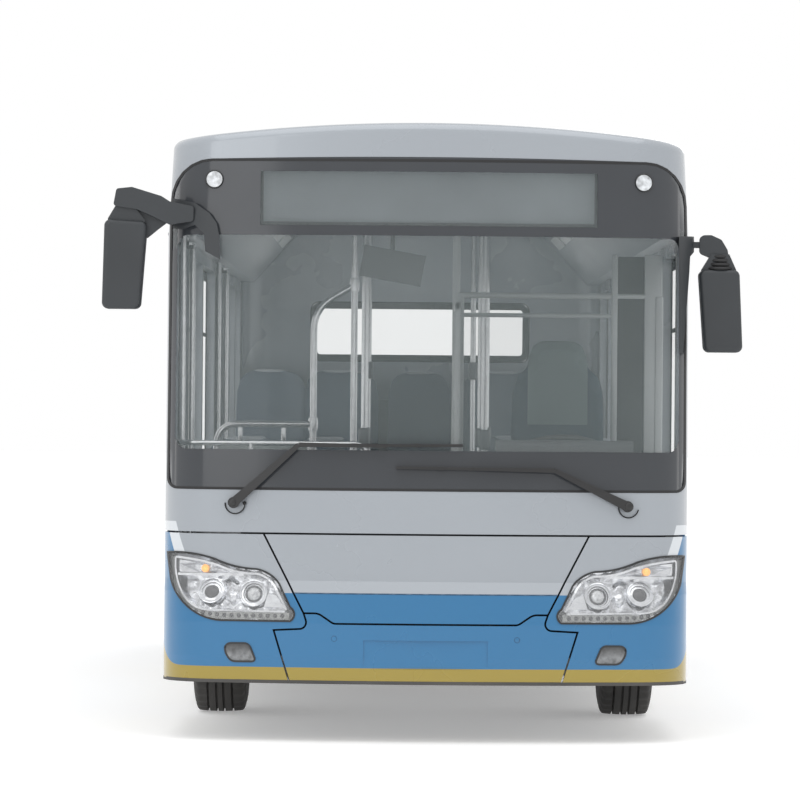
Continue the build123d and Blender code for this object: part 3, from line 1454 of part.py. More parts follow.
def mirror(blocks, bracket, y):
    """Outside mirror on the +X side: a bracket that follows the corner, an arm and a hanging head."""
    hug = nose_block(-BRACKET_PROUD) & front_prism(outline(bracket), Y_FRONT - 50, MIRROR_REACH_Y)
    for corner, ahead, behind, points in blocks:
        face = fillet(outline(points).vertices(), corner)
        block = front_prism(face, y + ahead, y + MIRROR_DEEP - behind)
        if corner == HEAD_CORNER:
            block = fillet(block.edges().group_by(Axis.Y)[0], HEAD_SOFT)
        hug += block
    hug -= nose_block(-BOND)
    return max(hug.solids(), key=lambda s: s.volume)


INSIDE_MIRROR = (-172, Y_NOSE - 80, 2262)
INSIDE_MIRROR_SIZE = (300, 30, 150)
INSIDE_MIRROR_TILT = 10


def mirrors():
    """Both outside mirrors and the inside mirror hung from the ceiling."""
    x, y, z = INSIDE_MIRROR
    glass = Pos(x, y, z) * Rot(0, INSIDE_MIRROR_TILT, 0) * Box(*INSIDE_MIRROR_SIZE)
    glass += rod((x, y, z), (x, y, CEILING_Z), 10)
    door_side = mirrored(mirror(DOOR_MIRROR, DOOR_BRACKET, DOOR_MIRROR_Y))
    driver_side = mirror(DRIVER_MIRROR, DRIVER_BRACKET, DRIVER_MIRROR_Y)
    return Compound(children=[*door_side.solids(), *driver_side.solids(), *glass.solids()])


# Wipers, columns: pivot, elbow, end of the arm, near and far end of the blade, each as x and z
WIPERS = [
    ((-912, 1126), (-606, 1402), (-190, 1398), (-560, 1401), (170, 1404)),
    ((950, 1122), (604, 1290), (225, 1295), (560, 1291), (-145, 1298)),
]
# Flat links of a wiper, columns: half-width at its two ends, inner and outer distance off the glass
WIPER_LINKS = [(23, 11, 15, 38), (11, 7, 20, 38), (7, 7, 4, 26)]
WIPER_BOSS = 27


def link(a, b, wide_a, wide_b, low, high):
    """A tapered bar that follows the front surface, between two distances off it."""
    (ax, az), (bx, bz) = a, b
    long = math.hypot(bx - ax, bz - az)
    nx, nz = (az - bz) / long, (bx - ax) / long
    face = outline(
        [
            (ax + nx * wide_a, az + nz * wide_a), (bx + nx * wide_b, bz + nz * wide_b),
            (bx - nx * wide_b, bz - nz * wide_b), (ax - nx * wide_a, az - nz * wide_a),
        ]
    )
    band = nose_block(-high) - nose_block(-low)
    return band & front_prism(face, Y_FRONT - 2 * high, Y_NOSE)


def wipers():
    """Two parked wipers, each a boss, a tapered arm with an elbow and a blade."""
    made = []
    for pivot, elbow, tip, near, far in WIPERS:
        outer = WIPER_LINKS[0][3]
        disc_face = Pos(*pivot) * Circle(WIPER_BOSS)
        boss = (nose_block(-outer) - nose_block(-BOND)) & front_prism(disc_face, Y_FRONT - 100, Y_NOSE)
        for (start, end), sizes in zip(((pivot, elbow), (elbow, tip), (near, far)), WIPER_LINKS):
            boss += link(start, end, *sizes)
        made.append(max(boss.solids(), key=lambda s: s.volume))
    return Compound(children=made)


def nodes():
    """Every sub-part by its node name."""
    made = {
        "front_mask": front_mask(),
        "windscreen": windscreen(),
        "front_corners": front_corners(),
        "front_service_panel": service_panel(),
        "front_bumper": front_bumper(),
        "headlamp_housings": headlamp_housings(),
        "headlamp_lenses": headlamp_lenses(),
        "front_small_lamps": small_lamps(),
        "destination_sign": destination_sign(),
        "side_wall_left": side_wall_left(),
        "side_wall_right_mid": side_wall_right_mid(),
        "side_wall_right_rear": side_wall_right_rear(),
        "window_panes": window_panes(),
        "roof": roof(),
        "roof_hatches": roof_hatches(),
        "roof_unit": roof_unit(),
        "rear_mask": rear_mask(),
        "rear_bumper": rear_bumper(),
        "rear_lid": rear_lid(),
        "tail_lamps": tail_lamps(),
        "floor_deck": floor_deck(),
        "wheel_boxes": wheel_boxes(),
        "chassis_frame": chassis_frame(),
        "air_springs": air_springs(),
        "front_axle": front_axle(),
        "rear_axle": rear_axle(),
        "drive_motor": drive_motor(),
        "battery_packs": battery_packs(),
        "dashboard": dashboard(),
        "cab_platform": cab_platform(),
        "driver_seat": driver_seat(),
        "steering_wheel": steering_wheel(),
        "passenger_seats": passenger_seats(),
        "handrails": handrails(),
        "cab_partition": cab_partition(),
        "cab_door": cab_door(),
        "mirrors": mirrors(),
        "wipers": wipers(),
    }
    for side, name in ((1, "left"), (-1, "right")):
        made[f"knuckle_{name}"] = knuckle(side)
        made[f"front_rim_{name}"] = front_rim(side)
        made[f"front_tyre_{name}"] = tyre(side * FRONT_TRACK / 2, Y_FA)
        made[f"rear_rims_{name}"] = rear_rims(side)
        made[f"rear_tyres_{name}"] = rear_tyres(side)
    for index, (door, _, _) in enumerate(DOORWAYS):
        for fore, leaf in ((True, "fore"), (False, "aft")):
            made[f"{door}_{leaf}_post"] = door_post(index, fore)
            made[f"{door}_{leaf}_leaf"] = door_leaf(index, fore)
            made[f"{door}_{leaf}_glass"] = leaf_glass(index, fore)
    return made


def main():
    """Writes one file for each node."""
    os.makedirs("parts", exist_ok=True)
    for name, shape in nodes().items():
        export_step(shape, f"parts/{name}.step")


main()
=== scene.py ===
import math
import bmesh
import bpy
from mathutils import Matrix, Vector


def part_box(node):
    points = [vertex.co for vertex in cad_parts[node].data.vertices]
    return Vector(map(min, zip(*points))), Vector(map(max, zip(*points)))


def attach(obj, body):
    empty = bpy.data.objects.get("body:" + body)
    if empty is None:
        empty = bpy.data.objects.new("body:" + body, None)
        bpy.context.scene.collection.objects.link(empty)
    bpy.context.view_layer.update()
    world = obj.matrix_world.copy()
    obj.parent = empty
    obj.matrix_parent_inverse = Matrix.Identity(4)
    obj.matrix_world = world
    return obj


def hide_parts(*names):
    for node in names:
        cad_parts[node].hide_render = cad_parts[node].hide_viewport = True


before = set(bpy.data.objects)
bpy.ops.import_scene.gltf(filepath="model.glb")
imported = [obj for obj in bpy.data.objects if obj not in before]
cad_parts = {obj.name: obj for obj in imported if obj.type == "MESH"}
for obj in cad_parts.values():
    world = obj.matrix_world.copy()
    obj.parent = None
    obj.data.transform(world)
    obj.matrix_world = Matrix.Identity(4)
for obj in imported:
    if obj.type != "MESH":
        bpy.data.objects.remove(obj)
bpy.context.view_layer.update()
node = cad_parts


# Camera, floor and light
# A long lens stands 24 m ahead of the bus, level, a little to the door side, and tipped half a degree.
# The floor and sky are plain white, with large soft lamps, as under an overcast sky.
nose_y = -5.245
camera_away = 24.0
camera_at = (-0.13, nose_y - camera_away, 1.617)
camera_tip = math.radians(0.5)
front_view_wide = 3.765
lens = bpy.data.cameras.new("camera")
lens.sensor_width = 36.0
lens.lens = lens.sensor_width * camera_away / front_view_wide
lens.clip_end = 200.0
camera = bpy.data.objects.new("camera", lens)
camera.matrix_world = (
    Matrix.Translation(camera_at)
    @ Matrix.Rotation(math.radians(90), 4, "X")
    @ Matrix.Rotation(camera_tip, 4, "Z")
)
bpy.context.scene.collection.objects.link(camera)
bpy.context.scene.camera = camera
bpy.context.scene.view_settings.view_transform = "Standard"

floor_mesh = bpy.data.meshes.new("studio_floor")
floor_half = 120.0
floor_white = (0.82, 0.82, 0.82, 1)
floor_glow = 0.3
floor_mesh.from_pydata(
    [(-floor_half, -floor_half, 0), (floor_half, -floor_half, 0),
     (floor_half, floor_half, 0), (-floor_half, floor_half, 0)],
    [], [(0, 1, 2, 3)],
)
floor = bpy.data.objects.new("studio_floor", floor_mesh)
bpy.context.scene.collection.objects.link(floor)
floor_paint = bpy.data.materials.new("studio_floor")
floor_paint.use_nodes = True
floor_shade = floor_paint.node_tree.nodes["Principled BSDF"]
floor_shade.inputs["Base Color"].default_value = floor_white
floor_shade.inputs["Roughness"].default_value = 0.9
floor_shade.inputs["Emission Color"].default_value = (1, 1, 1, 1)
floor_shade.inputs["Emission Strength"].default_value = floor_glow
floor_mesh.materials.append(floor_paint)

world = bpy.data.worlds.new("studio_sky")
bpy.context.scene.world = world
world.use_nodes = True
sky = world.node_tree.nodes["Background"]
sky.inputs["Color"].default_value = (1.0, 1.0, 1.0, 1)
sky.inputs["Strength"].default_value = 1.0

# Lamps, columns: name, place, aim, size, power
for name, place, aim, size, power in (
    ("overhead", (0, -6, 12), (0, 0, 0), 12.0, 500.0),
    ("front_left", (-9, -18, 7), (0, -5, 1.5), 8.0, 260.0),
    ("rear", (6, 18, 9), (0, 4, 1.0), 9.0, 400.0),
):
    lamp = bpy.data.lights.new(name, "AREA")
    lamp.size = size
    lamp.energy = power
    stand = bpy.data.objects.new(name, lamp)
    stand.location = place
    stand.rotation_euler = (Vector(aim) - Vector(place)).to_track_quat("-Z", "Y").to_euler()
    bpy.context.scene.collection.objects.link(stand)


# Underframe
# Rails, axles and brackets are black chassis paint over steel and rough castings, dusted by the road.
# The air springs are moulded rubber; the motor is cast alloy and the battery cases are painted sheet.
road_dust = (0.3, 0.28, 0.25, 1)
dust_foot = 0.15


def finish(name, colour, rough, metal=0.0, coat=0.0, mottle=0.12, patch=3.0, grain=180.0, bump=0.04,
           dust=0.0, dust_top=0.9):
    """A surface finish: colour mottled in patches, fine grain in the bump, road dust low down."""
    made = bpy.data.materials.new(name)
    made.use_nodes = True
    tree = made.node_tree
    shade = tree.nodes["Principled BSDF"]
    place = tree.nodes.new("ShaderNodeTexCoord")
    patches = tree.nodes.new("ShaderNodeTexNoise")
    patches.inputs["Scale"].default_value = patch
    patches.inputs["Detail"].default_value = 5.0
    tree.links.new(place.outputs["Object"], patches.inputs["Vector"])
    tones = tree.nodes.new("ShaderNodeValToRGB")
    tones.color_ramp.elements[0].position = 0.3
    tones.color_ramp.elements[1].position = 0.7
    tones.color_ramp.elements[0].color = [c * (1 - mottle) for c in colour] + [1]
    tones.color_ramp.elements[1].color = [min(1, c * (1 + mottle)) for c in colour] + [1]
    tree.links.new(patches.outputs["Fac"], tones.inputs["Fac"])
    colour_out = tones.outputs["Color"]
    if dust:
        split = tree.nodes.new("ShaderNodeSeparateXYZ")
        tree.links.new(place.outputs["Object"], split.inputs["Vector"])
        fall = tree.nodes.new("ShaderNodeMapRange")
        fall.inputs["From Min"].default_value = dust_foot
        fall.inputs["From Max"].default_value = dust_top
        fall.inputs["To Min"].default_value = dust
        fall.inputs["To Max"].default_value = 0.0
        tree.links.new(split.outputs["Z"], fall.inputs["Value"])
        speck = tree.nodes.new("ShaderNodeMath")
        speck.operation = "MULTIPLY"
        tree.links.new(fall.outputs["Result"], speck.inputs[0])
        tree.links.new(patches.outputs["Fac"], speck.inputs[1])
        dusty = tree.nodes.new("ShaderNodeMix")
        dusty.data_type = "RGBA"
        dusty.inputs["B"].default_value = road_dust
        tree.links.new(speck.outputs["Value"], dusty.inputs["Factor"])
        tree.links.new(colour_out, dusty.inputs["A"])
        colour_out = dusty.outputs["Result"]
    tree.links.new(colour_out, shade.inputs["Base Color"])
    spread = tree.nodes.new("ShaderNodeMapRange")
    spread.inputs["To Min"].default_value = max(0.02, rough * 0.8)
    spread.inputs["To Max"].default_value = min(1.0, rough * 1.2)
    tree.links.new(patches.outputs["Fac"], spread.inputs["Value"])
    tree.links.new(spread.outputs["Result"], shade.inputs["Roughness"])
    fine = tree.nodes.new("ShaderNodeTexNoise")
    fine.inputs["Scale"].default_value = grain
    fine.inputs["Detail"].default_value = 3.0
    tree.links.new(place.outputs["Object"], fine.inputs["Vector"])
    raised = tree.nodes.new("ShaderNodeBump")
    raised.inputs["Strength"].default_value = bump
    raised.inputs["Distance"].default_value = 0.002
    tree.links.new(fine.outputs["Fac"], raised.inputs["Height"])
    tree.links.new(raised.outputs["Normal"], shade.inputs["Normal"])
    shade.inputs["Metallic"].default_value = metal
    shade.inputs["Coat Weight"].default_value = coat
    shade.inputs["Coat Roughness"].default_value = 0.05
    return made


def dress(material, *names):
    """Puts a finish on CAD nodes."""
    for name in names:
        mesh = node[name].data
        mesh.materials.clear()
        mesh.materials.append(material)


chassis_paint = finish("chassis_paint", (0.03, 0.03, 0.033), 0.5, dust=0.7, bump=0.1)
casting = finish("axle_casting", (0.045, 0.045, 0.048), 0.6, metal=0.3, grain=90, bump=0.25, dust=0.6)
bellows_rubber = finish("bellows_rubber", (0.02, 0.02, 0.021), 0.65, dust=0.5)
motor_alloy = finish("motor_alloy", (0.42, 0.43, 0.44), 0.45, metal=0.8, grain=120, bump=0.2, dust=0.4)
case_paint = finish("battery_case_paint", (0.16, 0.17, 0.18), 0.5, dust=0.4)
dress(chassis_paint, "chassis_frame")
dress(casting, "front_axle", "rear_axle", "knuckle_left", "knuckle_right")
dress(bellows_rubber, "air_springs")
dress(motor_alloy, "drive_motor")
dress(case_paint, "battery_packs")


# Tyres
# Steel-belted road tyres of black rubber with ribs round the tread, cross cuts in the shoulders
# and raised rings on the side walls; they are mounted on the rims, twinned at the rear.
tyre_radius = 0.478
front_tyre_x = 1.039
rear_tyres_x = (0.772, 1.072)
front_axle_y = -2.845
rear_axle_y = 2.455
tyre_rubber = finish("tyre_rubber", (0.013, 0.013, 0.014), 0.75, grain=260, bump=0.15, dust=0.2, mottle=0.25)
sharp_angle = math.radians(55)


def piece(name, verts, faces, material, body, smooth=True, slot=None):
    """A mesh object made of points and faces that rides on a body."""
    mesh = bpy.data.meshes.new(name)
    mesh.from_pydata(verts, [], faces)
    mesh.validate()
    shape = bmesh.new()
    shape.from_mesh(mesh)
    bmesh.ops.recalc_face_normals(shape, faces=shape.faces)
    shape.to_mesh(mesh)
    shape.free()
    mesh.materials.append(material)
    for face in mesh.polygons:
        face.use_smooth = smooth
    if smooth:
        mesh.set_sharp_from_angle(angle=sharp_angle)
    made = bpy.data.objects.new(name, mesh)
    bpy.context.scene.collection.objects.link(made)
    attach(made, body)
    return made


# Half of a tyre's section, columns: distance from the middle, radius
tread_half = [
    (0.0, tyre_radius), (0.012, tyre_radius), (0.0135, 0.464), (0.022, 0.464), (0.0235, 0.4777),
    (0.056, 0.4765), (0.0575, 0.463), (0.066, 0.463), (0.0675, 0.476), (0.098, 0.4735),
    (0.112, 0.471), (0.12, 0.462), (0.126, 0.447), (0.1285, 0.43), (0.1305, 0.4295), (0.1315, 0.4255),
    (0.1365, 0.398), (0.1378, 0.377), (0.136, 0.352), (0.1375, 0.35), (0.1365, 0.343), (0.131, 0.324),
    (0.123, 0.306), (0.124, 0.301), (0.116, 0.292), (0.108, 0.2865),
]
tyre_steps = 132
# The shoulder's cross cuts: one in so many steps, how deep, and where across and above which radius
cut_every = 3
cut_deep = 0.011
shoulder_from, shoulder_to = 0.06, 0.122
shoulder_radius = 0.46


def tyre_mesh(places, y):
    """Points and faces of one or two tyres about the X axis."""
    section = [(-x, r) for x, r in reversed(tread_half)] + tread_half[1:]
    verts, faces = [], []
    for x0 in places:
        base = len(verts)
        for step in range(tyre_steps):
            turn = 2 * math.pi * step / tyre_steps
            cut = cut_deep if step % cut_every == 0 else 0.0
            for x, radius in section:
                on_shoulder = shoulder_from < abs(x) < shoulder_to and radius > shoulder_radius
                r = radius - cut if on_shoulder else radius
                verts.append((x0 + x, y + r * math.cos(turn), tyre_radius + r * math.sin(turn)))
        wide = len(section)
        for step in range(tyre_steps):
            a = base + step * wide
            b = base + ((step + 1) % tyre_steps) * wide
            for i in range(wide - 1):
                faces.append((a + i, a + i + 1, b + i + 1, b + i))
            faces.append((a + wide - 1, a, b, b + wide - 1))
    return verts, faces


for side, hand in ((1, "left"), (-1, "right")):
    verts, faces = tyre_mesh([side * front_tyre_x], front_axle_y)
    made = piece(f"front_tyre_tread_{hand}", verts, faces, tyre_rubber, f"front_wheel_{hand}", slot="tyre")
    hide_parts(f"front_tyre_{hand}")
    verts, faces = tyre_mesh([side * x for x in rear_tyres_x], rear_axle_y)
    made = piece(f"rear_tyre_tread_{hand}", verts, faces, tyre_rubber, f"rear_wheels_{hand}", slot="tyre")
    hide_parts(f"rear_tyres_{hand}")


# Wheels
# Pressed steel wheels in silver paint, held by ten nuts on studs round the hub; the hub and its cap
# are cast iron under the same paint.
wheel_paint = finish("wheel_paint", (0.4, 0.41, 0.42), 0.38, metal=0.5, dust=0.45, dust_top=0.8)
front_nuts_x, rear_nuts_x = 1.123, 0.942
nut_count = 10
nut_circle = 0.1675
nut_radius, nut_tall = 0.018, 0.022
nut_steel = finish("wheel_nut_steel", (0.35, 0.35, 0.36), 0.35, metal=0.9)
dress(wheel_paint, "front_rim_left", "front_rim_right", "rear_rims_left", "rear_rims_right")


def studs(places, along, radius, tall):
    """Hexagonal nuts with a stud's end, standing along the X axis at each place."""
    verts, faces = [], []
    for x, y, z in places:
        for size, start, end in ((radius, 0.0, tall), (radius * 0.55, tall, tall * 1.6)):
            base = len(verts)
            for off in (start, end):
                for n in range(6):
                    turn = math.pi * n / 3
                    verts.append((x + along * off, y + size * math.cos(turn), z + size * math.sin(turn)))
            for n in range(6):
                m = (n + 1) % 6
                faces.append((base + n, base + m, base + 6 + m, base + 6 + n))
            faces.append(tuple(base + 6 + n for n in range(6)))
            faces.append(tuple(base + n for n in reversed(range(6))))
    return verts, faces


def stud_circle(x, y):
    """Places round a wheel's stud circle."""
    turns = [2 * math.pi * n / nut_count for n in range(nut_count)]
    return [(x, y + nut_circle * math.cos(t), tyre_radius + nut_circle * math.sin(t)) for t in turns]


for side, hand in ((1, "left"), (-1, "right")):
    verts, faces = studs(stud_circle(side * front_nuts_x, front_axle_y), side, nut_radius, nut_tall)
    piece(f"front_wheel_nuts_{hand}", verts, faces, nut_steel, f"front_wheel_{hand}", smooth=False)
    verts, faces = studs(stud_circle(side * rear_nuts_x, rear_axle_y), side, nut_radius, nut_tall)
    piece(f"rear_wheel_nuts_{hand}", verts, faces, nut_steel, f"rear_wheels_{hand}", smooth=False)


# Floor and wheel boxes
# The floor is plywood under grey sheet vinyl with a speckle, turned up at the sides; the wheel boxes
# are folded steel covered in the same sheet.
floor_vinyl = finish("floor_vinyl", (0.2, 0.21, 0.225), 0.55, mottle=0.3, patch=160, bump=0.06)
box_vinyl = finish("wheel_box_vinyl", (0.3, 0.31, 0.32), 0.5, mottle=0.2, patch=120, bump=0.05)
dress(floor_vinyl, "floor_deck")
dress(box_vinyl, "wheel_boxes")


# Body walls and roof
# Welded tube under bonded alloy and glass-fibre skins, in silver-white paint with a blue lower band
# that sweeps up round the front corners and a yellow band along the skirt.
silver_white = (0.31, 0.335, 0.365)
# A painted highlight, not a paint: a paler silver for the lit facet along the top of the blue sweep at the
# front corners.
painted_highlight_silver = (0.6, 0.63, 0.66)
band_blue = (0.016, 0.145, 0.315)
skirt_yellow = (0.31, 0.23, 0.03)
# Bands in the order they are laid on, columns: where the edge starts to rise and where it is at its
# highest, height in the middle, rise at the sides, how late it rises, colour. The first band is no paint but
# a painted
# highlight: a paler strip along the top of the blue sweep at the front corners, where the facet there catches
# the light.
bands = [
    (0.9, 1.19, 0.702, 0.33, 3.4, painted_highlight_silver),
    (0.98, 1.225, 0.702, 0.283, 3.4, band_blue),
    (1.1, 1.25, 0.352, 0.1, 6.0, skirt_yellow),
]


def livery(name, rough=0.28):
    """Body paint: bands by height, their edges rising towards the sides, under a clear coat."""
    made = finish(name, silver_white, rough, metal=0.15, coat=0.55, mottle=0.02, patch=1.2, grain=60,
                  bump=0.006)
    tree = made.node_tree
    shade = tree.nodes["Principled BSDF"]
    colour = shade.inputs["Base Color"].links[0].from_socket
    place = tree.nodes.new("ShaderNodeTexCoord")
    split = tree.nodes.new("ShaderNodeSeparateXYZ")
    tree.links.new(place.outputs["Object"], split.inputs["Vector"])
    aside = tree.nodes.new("ShaderNodeMath")
    aside.operation = "ABSOLUTE"
    tree.links.new(split.outputs["X"], aside.inputs[0])
    for start, end, middle, rise, late, tint in bands:
        along = tree.nodes.new("ShaderNodeMapRange")
        along.inputs["From Min"].default_value = start
        along.inputs["From Max"].default_value = end
        tree.links.new(aside.outputs["Value"], along.inputs["Value"])
        sweep = tree.nodes.new("ShaderNodeMath")
        sweep.operation = "POWER"
        sweep.inputs[1].default_value = late
        tree.links.new(along.outputs["Result"], sweep.inputs[0])
        edge = tree.nodes.new("ShaderNodeMath")
        edge.operation = "MULTIPLY_ADD"
        edge.inputs[1].default_value = rise
        edge.inputs[2].default_value = middle
        tree.links.new(sweep.outputs["Value"], edge.inputs[0])
        under = tree.nodes.new("ShaderNodeMath")
        under.operation = "LESS_THAN"
        tree.links.new(split.outputs["Z"], under.inputs[0])
        tree.links.new(edge.outputs["Value"], under.inputs[1])
        band = tree.nodes.new("ShaderNodeMix")
        band.data_type = "RGBA"
        band.inputs["B"].default_value = (*tint, 1)
        tree.links.new(under.outputs["Value"], band.inputs["Factor"])
        tree.links.new(colour, band.inputs["A"])
        colour = band.outputs["Result"]
    tree.links.new(colour, shade.inputs["Base Color"])
    return made


body_paint = livery("body_paint")
roof_paint = finish("roof_paint", silver_white, 0.32, metal=0.1, coat=0.4, mottle=0.03, patch=1.2, bump=0.006)
unit_paint = finish("roof_unit_paint", (0.6, 0.61, 0.62), 0.4, mottle=0.05, grain=400, bump=0.05)
dress(body_paint, "side_wall_left", "side_wall_right_mid", "side_wall_right_rear", "front_mask",
      "front_corners", "front_service_panel", "front_bumper", "rear_mask", "rear_bumper", "rear_lid")
dress(roof_paint, "roof", "roof_hatches")
dress(unit_paint, "roof_unit")


# Windscreen and windows
# Laminated and toughened glass with a slight green tint, bonded into the body; a black ceramic border
# is fired round the windscreen, with a clear window for the destination sign.
def glazing(name, tint, clear):
    """Tinted glass that lets light through, with faint smears in its gloss."""
    made = finish(name, tint, 0.03, mottle=0.1, patch=1.5, grain=2.0, bump=0.004)
    shade = made.node_tree.nodes["Principled BSDF"]
    shade.inputs["Alpha"].default_value = clear
    shade.inputs["IOR"].default_value = 1.52
    made.surface_render_method = "BLENDED"
    return made


screen_glass = glazing("windscreen_glass", (0.4, 0.465, 0.47), 0.1)
side_glass = glazing("side_window_glass", (0.1, 0.125, 0.125), 0.06)
black_glaze = finish("black_ceramic_border", (0.04, 0.044, 0.05), 0.12, mottle=0.05, bump=0.002)
dress(screen_glass, "windscreen")
dress(side_glass, "window_panes", "front_door_fore_glass", "front_door_aft_glass", "mid_door_fore_glass",
      "mid_door_aft_glass")

half_body = 1.25
bow_radius = 5.0
corner_radius = 0.3
skirt_z = 0.287
cant_z = 2.4
loft_top_z = 2.955
lean_in = 0.028
rake_z = 1.186
screen_back = 0.04
screen_rake = 0.085
tail_y = 5.245
tail_break_z = 1.56
tail_lean = 0.07
# Front profile, columns: height, how far the surface stands behind the bumper's face
front_profile = [
    (skirt_z, 0.014), (0.4, 0.0), (0.56, 0.0), (0.702, 0.008), (0.76, screen_back),
    *[(z, screen_back + screen_rake * (z - rake_z)) for z in (rake_z, cant_z, loft_top_z)],
]


def front_at(x, z, out=0.0):
    """Y of the front surface at a place, moved outwards by a distance."""
    for (z0, b0), (z1, b1) in zip(front_profile, front_profile[1:]):
        back = b0 + (b1 - b0) * (z - z0) / (z1 - z0)
        if z <= z1:
            break
    half = half_body - lean_in * max(0.0, z - cant_z) / (loft_top_z - cant_z) + out
    corner = corner_radius + out
    bow = bow_radius + out
    front = nose_y + back - out
    spread = half - corner
    corner_y = front + bow - math.sqrt((bow - corner) ** 2 - spread**2)
    turn = math.atan2(spread, front + bow - corner_y)
    if abs(x) <= bow * math.sin(turn):
        return front + bow - math.sqrt(bow**2 - x * x)
    return corner_y - math.sqrt(max(0.0, corner**2 - (abs(x) - spread) ** 2))


def on_front(x, z, out=0.0):
    """A point on the front surface, moved outwards by a distance."""
    return (x, front_at(x, z, out), z)


screen_half = 1.2337
screen_foot = 1.1925
screen_head = 2.7695
screen_crown = 0.016
head_round = 0.2
foot_round = 0.045
clear_foot = 1.378
clear_head = 2.396
clear_half = 1.2
clear_round = 0.055
sign_half = 0.8
sign_foot = 2.443
sign_head = 2.7


def rounded_edge(x, half, radius):
    """How far a rounded corner pulls an edge in at a place across."""
    past = abs(x) - (half - radius)
    return radius - math.sqrt(max(0.0, radius**2 - past**2)) if past > 0 else 0.0


def black_spans(x):
    """Heights between which the windscreen is black at a place across."""
    head = screen_head - screen_crown * (x / screen_half) ** 2 - rounded_edge(x, screen_half, head_round)
    foot = screen_foot + rounded_edge(x, screen_half, foot_round)
    if abs(x) >= clear_half:
        return [(foot, head)]
    low = clear_foot + rounded_edge(x, clear_half, clear_round)
    high = clear_head - rounded_edge(x, clear_half, clear_round)
    if abs(x) >= sign_half:
        return [(foot, low), (high, head)]
    return [(foot, low), (high, sign_foot), (sign_head, head)]


def backed(verts, faces, backs):
    """A thin solid made of a sheet and the places of its back."""
    count = len(verts)
    rim = {}
    for face in faces:
        for a, b in zip(face, (*face[1:], face[0])):
            if (b, a) in rim:
                del rim[(b, a)]
            else:
                rim[(a, b)] = True
    sides = [(b, a, a + count, b + count) for a, b in rim]
    return [*verts, *backs], [*faces, *(tuple(count + n for n in reversed(face)) for face in faces), *sides]


def black_border(out, thick):
    """The black border as a thin layer, in narrow columns that follow the glass."""
    stops = [-screen_half, -clear_half, -sign_half, sign_half, clear_half, screen_half]
    columns = [6, 26, 60, 26, 6]
    rows = 8
    verts, backs, faces = [], [], []
    for x0, x1, count in zip(stops, stops[1:], columns):
        middle = (x0 + x1) / 2
        spans = len(black_spans(middle))
        xs = [x0 + (x1 - x0) * n / count for n in range(count + 1)]
        for s in range(spans):
            base = len(verts)
            for x in xs:
                inside = min(max(x, x0 + 1e-6), x1 - 1e-6)
                low, high = black_spans(inside)[s]
                for r in range(rows + 1):
                    z = low + (high - low) * r / rows
                    verts.append(on_front(x, z, out))
                    backs.append(on_front(x, z, out - thick))
            for c in range(count):
                for r in range(rows):
                    a = base + c * (rows + 1) + r
                    faces.append((a, a + rows + 1, a + rows + 2, a + 1))
    return backed(verts, faces, backs)


glaze_out, glaze_thick = 0.0006, 0.0012
piece("windscreen_border", *black_border(glaze_out, glaze_thick), black_glaze, "bus_body", slot="black_trim")


def merged(*shapes):
    """Several shapes, each of points and faces, as one."""
    verts, faces = [], []
    for points, cells in shapes:
        base = len(verts)
        verts += points
        faces += [tuple(base + i for i in cell) for cell in cells]
    return verts, faces


def arc_through(a, middle, b, count=10):
    """Points on the arc through three points, without the last."""
    (ax, ay), (mx, my), (bx, by) = a, middle, b
    d = 2 * (ax * (my - by) + mx * (by - ay) + bx * (ay - my))
    sa, sm, sb = ax * ax + ay * ay, mx * mx + my * my, bx * bx + by * by
    cx = (sa * (my - by) + sm * (by - ay) + sb * (ay - my)) / d
    cy = (sa * (bx - mx) + sm * (ax - bx) + sb * (mx - ax)) / d
    start = math.atan2(ay - cy, ax - cx)
    end = math.atan2(by - cy, bx - cx)
    half = math.atan2(my - cy, mx - cx)
    sweep = (end - start) % (2 * math.pi)
    if (half - start) % (2 * math.pi) > sweep:
        sweep -= 2 * math.pi
    radius = math.hypot(ax - cx, ay - cy)
    return [
        (cx + radius * math.cos(start + sweep * n / count), cy + radius * math.sin(start + sweep * n / count))
        for n in range(count)
    ]


def rounded_box(y0, y1, z0, z1, radius, count=6):
    """A closed path round a rectangle with rounded corners."""
    path = []
    for cy, cz, start in (
        (y1 - radius, z1 - radius, 0), (y0 + radius, z1 - radius, 90),
        (y0 + radius, z0 + radius, 180), (y1 - radius, z0 + radius, 270),
    ):
        for n in range(count + 1):
            turn = math.radians(start + 90 * n / count)
            path.append((cy + radius * math.cos(turn), cz + radius * math.sin(turn)))
    return path


def finer(path, step, closed=True):
    """The same path with long runs divided."""
    made = []
    ends = path[1:] + (path[:1] if closed else [])
    for (ax, ay), (bx, by) in zip(path, ends):
        count = max(1, math.ceil(math.hypot(bx - ax, by - ay) / step))
        made += [(ax + (bx - ax) * n / count, ay + (by - ay) * n / count) for n in range(count)]
    return made if closed else made + path[-1:]


def ribbon(path, half, low, high, place, closed=True):
    """A strip along a path on a surface, filling the space between two distances off it."""
    count = len(path)
    verts, faces = [], []
    for n, (u, v) in enumerate(path):
        before = path[n - 1] if n or closed else path[0]
        after = path[(n + 1) % count] if n + 1 < count or closed else path[-1]
        du, dv = after[0] - before[0], after[1] - before[1]
        long = math.hypot(du, dv) or 1.0
        for side, out in ((-1, low), (-1, high), (1, high), (1, low)):
            verts.append(place(u - side * half * dv / long, v + side * half * du / long, out))
    for n in range(count if closed else count - 1):
        a, b = 4 * n, 4 * ((n + 1) % count)
        for i in range(4):
            j = (i + 1) % 4
            faces.append((a + i, a + j, b + j, b + i))
    if not closed:
        faces += [(0, 1, 2, 3), tuple(4 * count - 4 + i for i in (3, 2, 1, 0))]
    return verts, faces


def on_side(side):
    """Places on a side wall: along, up, outwards."""
    return lambda y, z, out: (side * (half_body + out), y, z)


def on_tail(x, z, out):
    """A place on the rear wall, which leans in above its break."""
    lean = tail_lean * max(0.0, z - tail_break_z) / (loft_top_z - tail_break_z)
    return (x, tail_y - lean + out, z)


